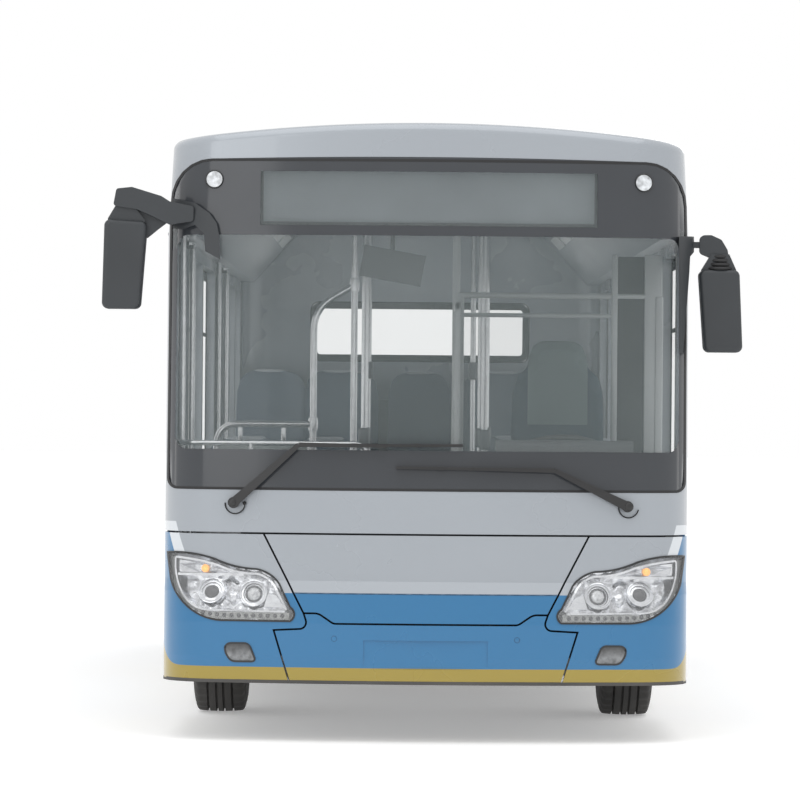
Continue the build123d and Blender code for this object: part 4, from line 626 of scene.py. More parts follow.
# Side windows, columns: side, first pillar, last pillar, number of panes
window_runs = [
    (1, -4.605, 4.78, 7),
    (-1, -3.49, 0.11, 2),
    (-1, 1.49, 4.78, 3),
]
window_foot = 1.18
window_head = 2.34
pillar_half = 0.045
pane_border = 0.03
pane_round, seal_round = 0.045, 0.058
seal_in = 0.002
vent_drop = 0.36
# The rear window's seal and black border, columns: left, right, foot, head
rear_seal_box = (-0.738, 0.738, 1.875, 2.277)
rear_border_box = (-0.715, 0.715, 1.9, 2.252)
border_black = finish("window_border_black", (0.012, 0.012, 0.013), 0.12, coat=0.3, bump=0.004)
seal_rubber = finish("seal_rubber", (0.016, 0.016, 0.017), 0.7, bump=0.1)
borders, seals = [], []
for side, first, last, count in window_runs:
    bay = (last - first) / count
    for n in range(count):
        y0 = first + n * bay + pillar_half
        y1 = first + (n + 1) * bay - pillar_half
        inner = rounded_box(y0 + pane_border, y1 - pane_border, window_foot + pane_border,
                            window_head - pane_border, pane_round)
        edge = rounded_box(y0 + seal_in, y1 - seal_in, window_foot + seal_in, window_head - seal_in,
                           seal_round)
        borders.append(ribbon(inner, pane_border - seal_in, -0.0028, -0.002, on_side(side)))
        seals.append(ribbon(edge, 0.004, -0.004, 0.0015, on_side(side)))
        slide = y0 + 0.5 * (y1 - y0)
        rail = window_head - vent_drop
        bar = [(y0 + pane_border, rail), (y1 - pane_border, rail)]
        seals.append(ribbon(bar, 0.011, -0.0028, 0.0005, on_side(side), closed=False))
        seals.append(ribbon([(slide, rail), (slide, window_head - 0.04)], 0.009, -0.0028, 0.0004,
                            on_side(side), closed=False))
borders.append(ribbon(rounded_box(*rear_border_box, pane_round), 0.022, -0.0028, -0.002, on_tail))
seals.append(ribbon(rounded_box(*rear_seal_box, seal_round), 0.005, -0.004, 0.002, on_tail))
piece("window_borders", *merged(*borders), border_black, "bus_body", smooth=False, slot="black_trim")
piece("window_seals", *merged(*seals), seal_rubber, "bus_body", smooth=False, slot="black_trim")
screen_box = (-screen_half, screen_half, screen_foot, screen_head - screen_crown)
# The first half of a rounded box's points lie round its head, the rest round its foot
head_path, foot_path = rounded_box(*screen_box, head_round), rounded_box(*screen_box, foot_round)
head_points = len(head_path) // 2
screen_path = head_path[:head_points] + foot_path[head_points:]
verts, faces = ribbon(finer(screen_path, 0.03), 0.006, -0.004, 0.002, on_front)
piece("windscreen_seal", verts, faces, seal_rubber, "bus_body", smooth=False, slot="black_trim")


# Headlamps
# A moulded clear cover over a chromed tray with two round units, a turn lamp under the brow and a row of
# small lenses along a dark foot strip; each lamp is screwed into its bumper corner behind a black rim.
lamp_edge = [
    *arc_through((1.233, 0.884), (1.13, 0.884), (1.0, 0.858)),
    *arc_through((1.0, 0.858), (0.89, 0.822), (0.8, 0.812)),
    *arc_through((0.8, 0.812), (0.742, 0.79), (0.693, 0.745)),
    (0.693, 0.745),
    *arc_through((0.64, 0.635), (0.622, 0.592), (0.64, 0.57)),
    (0.64, 0.57),
    *arc_through((0.94, 0.57), (1.122, 0.626), (1.214, 0.755), 14),
    (1.214, 0.755),
]
# Border of the dark strip that runs down the outer side and along the foot
strip_edge = [
    *arc_through((1.19, 0.862), (1.187, 0.78), (1.16, 0.704), 6),
    *arc_through((1.16, 0.704), (1.105, 0.64), (1.03, 0.617), 6),
    (1.03, 0.617), (0.665, 0.613),
]
brow_edge = [
    *arc_through((1.19, 0.862), (1.09, 0.852), (0.985, 0.828)),
    *arc_through((0.985, 0.828), (0.89, 0.798), (0.8, 0.79)),
    *arc_through((0.8, 0.79), (0.752, 0.77), (0.712, 0.73)),
    (0.712, 0.73), (0.658, 0.622),
]
shelf_edge = [(0.862, 0.786), (1.178, 0.782)]
# The turn lamp's chamber and the side reflector in front view
chamber_edge = [(1.172, 0.792), (1.172, 0.85), (1.09, 0.84), (0.985, 0.817), (0.885, 0.793)]
reflector_edge = [(0.7455, 0.698), (0.707, 0.69), (0.668, 0.634), (0.765, 0.634)]
lamp_lip, lamp_floor = 0.008, 0.034
tray_thick = 0.003
flute_pairs = 5
flute_long, flute_rise = 0.07, 0.012
# Round units, columns: x, z, radius of the ring, radius of the lens, has a bright lens in a dark ring
lamp_units = [(0.816, 0.702, 0.064, 0.034, True), (1.017, 0.714, 0.063, 0.031, False)]
chrome = finish("lamp_chrome", (0.62, 0.63, 0.65), 0.12, metal=1.0, mottle=0.2, patch=14, bump=0.02)
# The tray's chrome has strong light and dark patches painted into its colour: painted reflections standing in
# for the bright and dark things its facets would mirror.
chrome_painted_reflections = finish("lamp_faceted_chrome", (0.5, 0.51, 0.53), 0.16, metal=1.0, mottle=0.55, patch=34,
                       bump=0.05)
dark_chrome = finish("lamp_dark_trim", (0.05, 0.052, 0.055), 0.25, metal=0.4, mottle=0.3, patch=60, bump=0.05)
lamp_rim = finish("lamp_rim_black", (0.02, 0.021, 0.022), 0.4)
amber = finish("amber_bulb", (0.85, 0.3, 0.04), 0.15, mottle=0.3, patch=60)
amber_shade = amber.node_tree.nodes["Principled BSDF"]
amber_shade.inputs["Emission Color"].default_value = (1.0, 0.45, 0.1, 1)
amber_shade.inputs["Emission Strength"].default_value = 0.7
lens_clear = finish("lamp_lens_clear", (0.8, 0.82, 0.84), 0.04, mottle=0.02, bump=0.004)
lens_clear.node_tree.nodes["Principled BSDF"].inputs["Alpha"].default_value = 0.1
lens_clear.surface_render_method = "BLENDED"
unit_glass = finish("lamp_unit_glass", (0.45, 0.46, 0.47), 0.06, metal=0.3, coat=1.0, mottle=0.45, patch=70,
                    bump=0.01)
dark_glass = finish("lamp_dark_lens", (0.012, 0.011, 0.012), 0.35, coat=0.1, mottle=0.2, patch=40, bump=0.01)
strip_grey = finish("lamp_strip_grey", (0.24, 0.245, 0.235), 0.3, metal=0.4, mottle=0.3, patch=60, bump=0.05)
dress(lens_clear, "headlamp_lenses")


def turned(profile, at, facing, steps=36, hollow=False):
    """A shape turned about an axis from pairs of radius and distance along it: solid, or a ring."""
    turn = Vector(facing).to_track_quat("Z", "Y")
    verts = []
    for radius, along in profile:
        for n in range(steps):
            angle = 2 * math.pi * n / steps
            spot = turn @ Vector((radius * math.cos(angle), radius * math.sin(angle), along)) + Vector(at)
            verts.append(tuple(spot))
    faces = []
    last = len(profile) - 1
    for row in range(last + 1 if hollow else last):
        after = (row + 1) % (last + 1)
        for n in range(steps):
            m = (n + 1) % steps
            faces.append((row * steps + n, row * steps + m, after * steps + m, after * steps + n))
    if not hollow:
        faces += [tuple(reversed(range(steps))), tuple(range(last * steps, (last + 1) * steps))]
    return verts, faces


def dome(radius, rise, rows=6, base=0.0):
    """The profile of a shallow dome, from its middle to its rim."""
    turns = [0.5 * math.pi * n / rows for n in range(rows + 1)]
    return [(max(2e-4, radius * math.sin(t)), base + rise * math.cos(t)) for t in turns]


def span_at(path, x):
    """Lowest and highest place where a closed path crosses a line across."""
    cuts = []
    for (ax, az), (bx, bz) in zip(path, path[1:] + path[:1]):
        if (ax - x) * (bx - x) <= 0 and ax != bx:
            cuts.append(az + (bz - az) * (x - ax) / (bx - ax))
    return min(cuts), max(cuts)


def away_from(path, x, z):
    """Distance from a place to a path."""
    best = 1.0
    for (ax, az), (bx, bz) in zip(path, path[1:] + path[:1]):
        dx, dz = bx - ax, bz - az
        along = ((x - ax) * dx + (z - az) * dz) / (dx * dx + dz * dz or 1.0)
        along = min(1.0, max(0.0, along))
        best = min(best, math.hypot(ax + along * dx - x, az + along * dz - z))
    return best


def tray_depth(x, z):
    """How deep the lamp's tray lies behind the front surface: a dish with flutes round the units."""
    deep = min(lamp_floor, lamp_lip + 0.9 * away_from(lamp_edge, x, z))
    for ux, uz, ring, _, _ in lamp_units:
        away = math.hypot(x - ux, z - uz)
        if ring < away < ring + flute_long:
            flute = abs(math.sin(flute_pairs * math.atan2(z - uz, x - ux)))
            deep -= flute_rise * flute * math.sin(math.pi * (away - ring) / flute_long)
    return min(lamp_floor, max(lamp_lip, deep))


def lamp_tray(side):
    """The chromed dish of a headlamp, as a fine grid."""
    columns, rows = 90, 40
    inset = 0.001
    xs = [min(p[0] for p in lamp_edge), max(p[0] for p in lamp_edge)]
    verts, backs, faces = [], [], []
    for c in range(columns + 1):
        x = xs[0] + inset + (xs[1] - xs[0] - 2 * inset) * c / columns
        low, high = span_at(lamp_edge, x)
        for r in range(rows + 1):
            z = low + (high - low) * r / rows
            for points, depth in ((verts, tray_depth(x, z)), (backs, tray_depth(x, z) + tray_thick)):
                spot = on_front(x, z, -depth)
                points.append((side * spot[0], spot[1], spot[2]))
    for c in range(columns):
        for r in range(rows):
            a = c * (rows + 1) + r
            faces.append((a, a + rows + 1, a + rows + 2, a + 1))
    return backed(verts, faces, backs)


def facing_at(x, z):
    """The direction that the front surface faces at a place."""
    step = 0.004
    across = Vector(on_front(x + step, z)) - Vector(on_front(x - step, z))
    up = Vector(on_front(x, z + step)) - Vector(on_front(x, z - step))
    return across.cross(up).normalized()


def lamp_place(side):
    """Places on the front surface, mirrored for a side: across, up, outwards."""
    def place(x, z, out):
        spot = on_front(x, z, out)
        return (side * spot[0], spot[1], spot[2])
    return place


def lamp_turned(profile, x, z, sink, side, hollow=False):
    """A turned shape sunk into the front surface and facing out of it."""
    ahead = facing_at(x, z)
    spot = Vector(on_front(x, z)) - ahead * sink
    return turned(profile, (side * spot.x, spot.y, spot.z), (side * ahead.x, ahead.y, ahead.z), hollow=hollow)


def plate_on(path, low, high, place):
    """A flat plate of a closed outline on a surface, between two distances off it."""
    count = len(path)
    verts = [place(u, v, out) for out in (low, high) for u, v in path]
    faces = [(n, (n + 1) % count, count + (n + 1) % count, count + n) for n in range(count)]
    return verts, [*faces, tuple(range(count, 2 * count)), tuple(reversed(range(count)))]


outer_strip = [
    *arc_through((1.207, 0.862), (1.202, 0.77), (1.176, 0.69), 8),
    *arc_through((1.176, 0.69), (1.1, 0.611), (0.98, 0.591), 8),
    (0.98, 0.591), (0.645, 0.59),
]
# Chromed lines, columns: path, half-width, how far the face lies off the front surface
chrome_lines = [(brow_edge, 0.005, -0.0065), (shelf_edge, 0.006, -0.007), (strip_edge, 0.004, -0.006)]
line_step = 0.02
line_foot = -0.03
ring_sink = 0.033
eye_sink = 0.029
# Small lenses in a row that turns up past the eighth
led_first = (0.678, 0.594)
led_pitch = 0.0345
led_count = 13
led_straight, led_rise = 7, 0.0007
led_shape = [*dome(0.0095, 0.003), (0.0105, -0.001), (0.011, -0.006)]
led_sink = 0.0095
bulb_shape = [*dome(0.019, 0.012), (0.019, -0.004), (0.012, -0.01)]
bulb_at = (1.052, 0.812)
bulb_sink = 0.018
trays, rings, rims, bright_eyes, dark_eyes = [], [], [], [], []
lines, strips, edges, leds, bulbs, plates = [], [], [], [], [], []
for side in (1, -1):
    place = lamp_place(side)
    trays.append(lamp_tray(side))
    for x, z, ring, lens_radius, bright in lamp_units:
        ring_shape = [
            (lens_radius, 0.002), (lens_radius + 0.004, 0.009), (ring - 0.018, 0.007), (ring - 0.014, 0.014),
            (ring - 0.006, 0.013), (ring - 0.003, 0.021), (ring + 0.001, 0.02), (ring + 0.004, 0.0),
        ]
        rings.append(lamp_turned(ring_shape, x, z, ring_sink, side, True))
        if bright:
            rim_shape = [
                (lens_radius - 0.001, 0.004), (lens_radius, 0.0135), (lens_radius + 0.007, 0.0135),
                (lens_radius + 0.009, 0.004),
            ]
            rims.append(lamp_turned(rim_shape, x, z, ring_sink, side, True))
        eyes = bright_eyes if bright else dark_eyes
        eyes.append(lamp_turned(dome(lens_radius, 0.018 if bright else 0.009), x, z, eye_sink, side))
    for path, half, face in chrome_lines:
        lines.append(ribbon(finer(path, line_step, False), half, line_foot, face, place, closed=False))
    plates.append(plate_on(finer(chamber_edge, line_step), -lamp_floor, -0.016, place))
    plates.append(plate_on(finer(reflector_edge, line_step), -lamp_floor, -0.011, place))
    strips.append(ribbon(finer(outer_strip, line_step, False), 0.0185, line_foot, -0.011, place,
                         closed=False))
    edges.append(ribbon(finer(lamp_edge, line_step), 0.0045, -0.012, 0.0046, place))
    for n in range(led_count):
        x = led_first[0] + led_pitch * n
        z = led_first[1] + led_rise * max(0, n - led_straight) ** 2
        leds.append(lamp_turned(led_shape, x, z, led_sink, side))
    bulbs.append(lamp_turned(bulb_shape, *bulb_at, bulb_sink, side))
tray = piece("headlamp_trays", *merged(*trays), chrome_painted_reflections, "bus_body", slot="lamp_chrome")
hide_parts("headlamp_housings")
piece("headlamp_rings", *merged(*rings), chrome, "bus_body", slot="lamp_chrome")
piece("headlamp_rims", *merged(*rims), dark_chrome, "bus_body", slot="black_trim")
piece("headlamp_units", *merged(*bright_eyes), unit_glass, "bus_body", slot="lens")
piece("headlamp_dark_units", *merged(*dark_eyes), dark_glass, "bus_body", slot="lens")
piece("headlamp_plates", *merged(*plates), chrome, "bus_body", smooth=False, slot="lamp_chrome")
piece("headlamp_chrome_lines", *merged(*lines), chrome, "bus_body", smooth=False, slot="lamp_chrome")
piece("headlamp_strips", *merged(*strips), strip_grey, "bus_body", smooth=False, slot="black_trim")
piece("headlamp_edges", *merged(*edges), lamp_rim, "bus_body", smooth=False, slot="black_trim")
piece("headlamp_small_lenses", *merged(*leds), dark_glass, "bus_body", slot="lens")
piece("headlamp_turn_bulbs", *merged(*bulbs), amber, "bus_body", slot="lens")


# Fog and marker lamps
# Moulded lenses with flutes over pale reflectors, clipped into the bumper corners and the screen's head;
# a black rim closes the gap round each.
small_lens = finish("small_lamp_lens", (0.5, 0.52, 0.54), 0.12, coat=0.8, mottle=0.45, patch=38, grain=300,
                    bump=0.2)
dress(small_lens, "front_small_lamps")


def painted_light_by_height(material, low, high, stops):
    """Tints a finish by height, between pairs of place and brightness."""
    tree = material.node_tree
    shade = tree.nodes["Principled BSDF"]
    place = tree.nodes.new("ShaderNodeTexCoord")
    split = tree.nodes.new("ShaderNodeSeparateXYZ")
    tree.links.new(place.outputs["Object"], split.inputs["Vector"])
    rise = tree.nodes.new("ShaderNodeMapRange")
    rise.inputs["From Min"].default_value = low
    rise.inputs["From Max"].default_value = high
    tree.links.new(split.outputs["Z"], rise.inputs["Value"])
    tones = tree.nodes.new("ShaderNodeValToRGB")
    tones.color_ramp.elements[0].position = stops[0][0]
    tones.color_ramp.elements[1].position = stops[-1][0]
    for at, _ in stops[1:-1]:
        tones.color_ramp.elements.new(at)
    for element, (_, bright) in zip(tones.color_ramp.elements, stops):
        element.color = (bright, bright, bright, 1)
    tree.links.new(rise.outputs["Result"], tones.inputs["Fac"])
    tinted = tree.nodes.new("ShaderNodeMix")
    tinted.data_type = "RGBA"
    tinted.blend_type = "MULTIPLY"
    tinted.inputs["Factor"].default_value = 1.0
    tree.links.new(shade.inputs["Base Color"].links[0].from_socket, tinted.inputs["A"])
    tree.links.new(tones.outputs["Color"], tinted.inputs["B"])
    tree.links.new(tinted.outputs["Result"], shade.inputs["Base Color"])


# Painted light on the fog lamps: their lenses are painted pale at the foot and dark at the head, as light
# falls into their reflectors; the marker lamps at the screen's head are bright
painted_light_by_height(small_lens, 0.37, 2.7, [(0.0, 0.2), (0.014, 0.34), (0.036, 0.05), (0.5, 1.0)])


def softened(points, radius, count=5):
    """A closed outline with its corners rounded."""
    made = []
    for n, corner in enumerate(points):
        spot = Vector(corner)
        before = Vector(points[n - 1]) - spot
        after = Vector(points[(n + 1) % len(points)]) - spot
        start, end = spot + before.normalized() * radius, spot + after.normalized() * radius
        for k in range(count + 1):
            t = k / count
            made.append(tuple(start * (1 - t) ** 2 + spot * 2 * t * (1 - t) + end * t * t))
    return made


fog_edge = softened([(0.834, 0.463), (0.942, 0.462), (0.95, 0.426), (0.919, 0.376), (0.799, 0.377)], 0.024)
marker_at = (1.022, 2.66)
marker_rim = [(0.0385, 0.001), (0.0385, 0.009), (0.041, 0.0105), (0.0445, 0.008), (0.045, 0.001)]
rims = []
for side in (1, -1):
    rims.append(ribbon(finer(fog_edge, line_step), 0.0045, -0.006, 0.0046, lamp_place(side)))
    rims.append(lamp_turned(marker_rim, *marker_at, 0.0, side, True))
piece("small_lamp_rims", *merged(*rims), lamp_rim, "bus_body", smooth=False, slot="black_trim")


# Front panels and bumper
# Painted glass-fibre panels screwed to the front frame; a groove marks the paint step, and two round caps
# close the towing holes.
groove_black = finish("groove_black", (0.01, 0.01, 0.011), 0.6)
cap_paint = finish("cap_paint", band_blue, 0.3, coat=0.4)
screw_steel = finish("screw_steel", (0.4, 0.4, 0.41), 0.35, metal=0.9)
step_shade = finish("paint_step_shade", (0.008, 0.05, 0.11), 0.5)
step_half, step_z = 0.62, 0.702
paint_step = finer([(-step_half, step_z), (step_half, step_z)], 0.04, False)
groove = ribbon(paint_step, 0.003, -0.004, 0.0006, on_front, closed=False)
tow_cap_at = (0.431, 0.49)
tow_cap = [*dome(0.0115, 0.0015), (0.012, 0.0), (0.012, -0.004)]
tow_cap_gap = [(0.012, 0.0003), (0.0138, 0.0006), (0.0138, -0.003)]
caps, cap_gaps = [], []
for side in (1, -1):
    caps.append(lamp_turned(tow_cap, *tow_cap_at, 0.0, side))
    cap_gaps.append(lamp_turned(tow_cap_gap, *tow_cap_at, 0.0, side, True))
piece("front_grooves", *merged(groove, *cap_gaps), step_shade, "bus_body", smooth=False, slot="black_trim")
piece("front_tow_caps", *merged(*caps), cap_paint, "bus_body", slot="body_blue")


# Destination sign
# A painted steel case screwed up behind the screen's head, with a board of small lights set in its open
# front; all of the lights are off, so they show as grey dots.
sign_low, sign_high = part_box("destination_sign")
sign_case = finish("sign_case_black", (0.02, 0.021, 0.022), 0.5)
dress(sign_case, "destination_sign")
sign_face = finish("sign_matrix", (0.125, 0.14, 0.155), 0.35, mottle=0.15, patch=4)


def dotted(material, pitch, dot, colour):
    """Adds a square grid of round dots to a material that faces the front."""
    tree = material.node_tree
    shade = tree.nodes["Principled BSDF"]
    place = tree.nodes.new("ShaderNodeTexCoord")
    split = tree.nodes.new("ShaderNodeSeparateXYZ")
    tree.links.new(place.outputs["Object"], split.inputs["Vector"])
    squares = []
    for axis in ("X", "Z"):
        wrap = tree.nodes.new("ShaderNodeMath")
        wrap.operation = "PINGPONG"
        wrap.inputs[1].default_value = pitch / 2
        tree.links.new(split.outputs[axis], wrap.inputs[0])
        square = tree.nodes.new("ShaderNodeMath")
        square.operation = "POWER"
        square.inputs[1].default_value = 2.0
        tree.links.new(wrap.outputs["Value"], square.inputs[0])
        squares.append(square.outputs["Value"])
    total = tree.nodes.new("ShaderNodeMath")
    tree.links.new(squares[0], total.inputs[0])
    tree.links.new(squares[1], total.inputs[1])
    inside = tree.nodes.new("ShaderNodeMath")
    inside.operation = "LESS_THAN"
    inside.inputs[1].default_value = dot * dot
    tree.links.new(total.outputs["Value"], inside.inputs[0])
    spots = tree.nodes.new("ShaderNodeMix")
    spots.data_type = "RGBA"
    spots.inputs["B"].default_value = (*colour, 1)
    tree.links.new(inside.outputs["Value"], spots.inputs["Factor"])
    tree.links.new(shade.inputs["Base Color"].links[0].from_socket, spots.inputs["A"])
    tree.links.new(spots.outputs["Result"], shade.inputs["Base Color"])


dot_pitch, dot_radius = 0.012, 0.004
dot_grey = (0.155, 0.165, 0.175)
dotted(sign_face, dot_pitch, dot_radius, dot_grey)
matrix_y = sign_low.y + 0.011
matrix_thick = 0.004
matrix_rim = 0.023
matrix_left, matrix_right = sign_low.x + matrix_rim, sign_high.x - matrix_rim
matrix_ends = (sign_low.z + matrix_rim, sign_high.z - matrix_rim)
cells = 8
across = [matrix_left + (matrix_right - matrix_left) * n / cells for n in range(cells + 1)]
verts = [(x, matrix_y, z) for z in matrix_ends for x in across]
backs = [(x, y + matrix_thick, z) for x, y, z in verts]
faces = [(n, n + 1, cells + 2 + n, cells + 1 + n) for n in range(cells)]
piece("sign_matrix", *backed(verts, faces, backs), sign_face, "bus_body", smooth=False, slot="black_trim")


# Wipers
# Painted steel arms sprung against the screen, with rubber blades; each is bolted to its spindle under a
# cap, and a short moulded washer pipe loops from the cowl to the arm.
wiper_black = finish("wiper_black", (0.018, 0.018, 0.019), 0.35, grain=260, bump=0.05)
blade_rubber = finish("blade_rubber", (0.01, 0.01, 0.01), 0.6)
dress(wiper_black, "wipers")


def tube(points, radius, sides=10):
    """A round bar along points, its ends closed."""
    spots = [Vector(p) for p in points]
    verts, faces = [], []
    across = None
    for n, spot in enumerate(spots):
        ahead = (spots[min(n + 1, len(spots) - 1)] - spots[max(n - 1, 0)]).normalized()
        if across is None:
            across = ahead.orthogonal().normalized()
        across = (across - ahead * across.dot(ahead)).normalized()
        aside = ahead.cross(across)
        for k in range(sides):
            turn = 2 * math.pi * k / sides
            verts.append(tuple(spot + radius * (across * math.cos(turn) + aside * math.sin(turn))))
    for n in range(len(spots) - 1):
        for k in range(sides):
            m = (k + 1) % sides
            faces.append((n * sides + k, n * sides + m, (n + 1) * sides + m, (n + 1) * sides + k))
    last = (len(spots) - 1) * sides
    faces += [tuple(reversed(range(sides))), tuple(range(last, last + sides))]
    return verts, faces


# Wipers, columns: pivot, near and far end of the blade, turn where the pipe's loop starts and ends
wiper_places = [
    ((-0.912, 1.126), (-0.56, 1.401), (0.17, 1.404), 175, 365),
    ((0.95, 1.122), (0.56, 1.291), (-0.145, 1.298), 170, 350),
]
# A blade's rubber lip and its spine, columns: half-width, near and far face off the front surface
blade_layers = [(0.0025, 0.0005, 0.008), (0.0055, 0.008, 0.011)]
spindle_cap = [*dome(0.019, 0.008, base=0.038), (0.0215, 0.037), (0.0225, 0.034)]
clip_places = (0.3, 0.7)
clip_half = 0.014
pipe_radius = 0.0032
pipe_end = [*dome(0.009, 0.009), (0.009, 0.0), (0.005, -0.006)]
loop_radius = 0.047
loop_off = 0.006
loop_steps = 24
blades, wiper_caps, pipes = [], [], []
for pivot, near, far, start, end in wiper_places:
    for half, low, high in blade_layers:
        blades.append(ribbon(finer([near, far], 0.03, False), half, low, high, on_front, closed=False))
    wiper_caps.append(lamp_turned(spindle_cap, *pivot, 0.0, 1))
    for along in clip_places:
        x, z = near[0] + along * (far[0] - near[0]), near[1] + along * (far[1] - near[1])
        clip = [(x - clip_half, z), (x + clip_half, z)]
        wiper_caps.append(ribbon(clip, 0.009, 0.014, 0.03, on_front, closed=False))
    loop_x, loop_z = pivot[0] + loop_off, pivot[1] - loop_off
    loop = []
    for n in range(loop_steps + 1):
        turn = math.radians(start + (end - start) * n / loop_steps)
        loop.append(on_front(loop_x + loop_radius * math.cos(turn), loop_z + loop_radius * math.sin(turn),
                             0.004 + 0.012 * n / loop_steps))
    pipes.append(tube(loop, pipe_radius))
    if pivot[0] < 0:
        pipes.append(lamp_turned(pipe_end, loop_x + loop_radius, pivot[1] - 0.003, -0.012, 1))
piece("wiper_blades", *merged(*blades), blade_rubber, "bus_body", smooth=False, slot="black_trim")
piece("wiper_caps", *merged(*wiper_caps), wiper_black, "bus_body", slot="black_trim")
piece("washer_pipes", *merged(*pipes), blade_rubber, "bus_body", slot="black_trim")


# Outside and inside mirrors
# Grained black plastic heads on moulded arms, bolted to the screen's corners; silvered glass faces the
# driver, and a rubber gaiter covers the driver's side joint.
mirror_plastic = finish("mirror_plastic", (0.03, 0.034, 0.038), 0.5, grain=420, bump=0.22, mottle=0.1)
gaiter_rubber = finish("gaiter_rubber", (0.018, 0.018, 0.019), 0.6, bump=0.1)
silvered = finish("mirror_silver", (0.8, 0.82, 0.83), 0.02, metal=1.0, mottle=0.02, bump=0.0)
dress(mirror_plastic, "mirrors")


def flat_panel(path, y, thick):
    """A plate of a closed outline in front view, with a narrow chamfer to its rear face."""
    count = len(path)
    mx = sum(p[0] for p in path) / count
    mz = sum(p[1] for p in path) / count
    verts = []
    for scale, deep in ((1.0, 0.0), (1.0, thick * 0.6), (0.98, thick)):
        verts += [(mx + (x - mx) * scale, y + deep, mz + (z - mz) * scale) for x, z in path]
    faces = [tuple(reversed(range(count))), tuple(range(2 * count, 3 * count))]
    for row in range(2):
        for n in range(count):
            a, b = row * count + n, row * count + (n + 1) % count
            faces.append((a, b, b + count, a + count))
    return verts, faces


# Mirror glasses, columns: side, back of the head, then the glass's left, right, foot and head
mirror_panes = [
    (-1, -4.865, 1.392, 1.532, 2.19, 2.44), (-1, -4.865, 1.395, 1.534, 2.06, 2.165),
    (1, -4.69, 1.325, 1.478, 1.98, 2.235), (1, -4.69, 1.34, 1.484, 1.88, 1.96),
]
pane_thick = 0.003
glasses = []
for side, y, x0, x1, z0, z1 in mirror_panes:
    path = [(side * x, z) for x, z in rounded_box(x0, x1, z0, z1, 0.02, 4)]
    glasses.append(flat_panel(path, y, pane_thick))
piece("mirror_glasses", *merged(*glasses), silvered, "bus_body", smooth=False, slot="lamp_chrome")
fold_radii = (0.046, 0.052, 0.058, 0.066)
fold_pitch = 0.019
gaiter_x, gaiter_y, gaiter_z = 1.4, -4.752, 2.3095
gaiter = []
for n, half in enumerate(fold_radii):
    fold = [(half * 0.9, 0.0), (half, 0.004), (half * 1.04, 0.0085), (half, 0.013), (half * 0.9, 0.017)]
    gaiter.append(turned(fold, (gaiter_x, gaiter_y, gaiter_z - fold_pitch * n), (0, 0, 1)))
piece("mirror_gaiter", *merged(*gaiter), gaiter_rubber, "bus_body", slot="black_trim")


# Side trim
# Rubber arch lips and rub rails are screwed to the walls; seams mark the skirt flaps, which quarter-turn
# locks hold shut. Amber side lamps are clipped in, and a drip rail runs over the windows.
trim_rubber = finish("trim_rubber", (0.02, 0.02, 0.021), 0.6, bump=0.12, dust=0.35)
amber_lens = finish("amber_side_lens", (0.75, 0.26, 0.03), 0.12, coat=0.6, mottle=0.25, patch=70, grain=300,
                    bump=0.2)
axle_z = tyre_radius
arch_radius = 0.545
arch_steps = 40
rub_z = 0.585
rub_in = 0.02
# The rub rail's base and its crown, columns: half-width, near and far face off the wall
rub_layers = [(0.021, -0.003, 0.006), (0.011, 0.006, 0.011)]
flap_head_z = 0.93
seam_half, seam_low, seam_high = 0.003, -0.004, 0.0005
lock_z = 0.88
lock_shape = [*dome(0.011, 0.003), (0.016, 0.002), (0.0165, -0.002)]
drip_z = 2.409
drip_from, drip_to = -4.6, 4.81
# Straight runs of wall, columns: side, start, end, number of flaps
wall_runs = [
    (1, -4.645, -3.4, 1), (1, -2.29, 1.9, 4), (1, 3.01, 4.815, 2),
    (-1, -2.29, 0.16, 2), (-1, 1.44, 1.9, 1), (-1, 3.01, 4.815, 2),
]


def block(low, high, soft=0.004):
    """A block between two corners with its edges rounded off."""
    solid = bmesh.new()
    bmesh.ops.create_cube(solid, size=1.0)
    for corner in solid.verts:
        corner.co = [min(low[i], high[i]) + (corner.co[i] + 0.5) * abs(high[i] - low[i]) for i in range(3)]
    bmesh.ops.bevel(solid, geom=solid.edges[:], offset=soft, segments=2, affect="EDGES", profile=0.5)
    solid.verts.index_update()
    shape = [tuple(v.co) for v in solid.verts], [tuple(v.index for v in f.verts) for f in solid.faces]
    solid.free()
    return shape


def arch_path(y):
    """The edge of a wheel arch in side view, from skirt to skirt."""
    dip = math.asin((axle_z - skirt_z) / arch_radius)
    turns = [-dip + (math.pi + 2 * dip) * n / arch_steps for n in range(arch_steps + 1)]
    return [(y + arch_radius * math.cos(t), axle_z + arch_radius * math.sin(t)) for t in turns]


rails, seams, locks, side_lamps, lamp_bases, drips = [], [], [], [], [], []
for side, y0, y1, flaps in wall_runs:
    wall = on_side(side)
    for half, low, high in rub_layers:
        rub_path = [(y0 + rub_in, rub_z), (y1 - rub_in, rub_z)]
        rails.append(ribbon(rub_path, half, low, high, wall, closed=False))
    wall_foot = [(y0, skirt_z + 0.005), (y1, skirt_z + 0.005)]
    rails.append(ribbon(wall_foot, 0.005, -0.01, 0.0015, wall, closed=False))
    flap_head = [(y0, flap_head_z), (y1, flap_head_z)]
    seams.append(ribbon(flap_head, seam_half, seam_low, seam_high, wall, closed=False))
    for n in range(flaps + 1):
        y = y0 + (y1 - y0) * n / flaps
        if 0 < n < flaps:
            upright = [(y, skirt_z), (y, flap_head_z)]
            seams.append(ribbon(upright, seam_half, seam_low, seam_high, wall, closed=False))
        if n < flaps:
            for along in (0.15, 0.85):
                lock_y = y + along * (y1 - y0) / flaps
                locks.append(turned(lock_shape, (side * half_body, lock_y, lock_z), (side, 0, 0), 20))
    middle = (y0 + y1) / 2
    lamp_bases.append(block((side * half_body - 0.003, middle - 0.06, 0.66),
                            (side * (half_body + 0.008), middle + 0.06, 0.7)))
    side_lamps.append(block((side * half_body, middle - 0.052, 0.665),
                            (side * (half_body + 0.017), middle + 0.052, 0.695), 0.006))
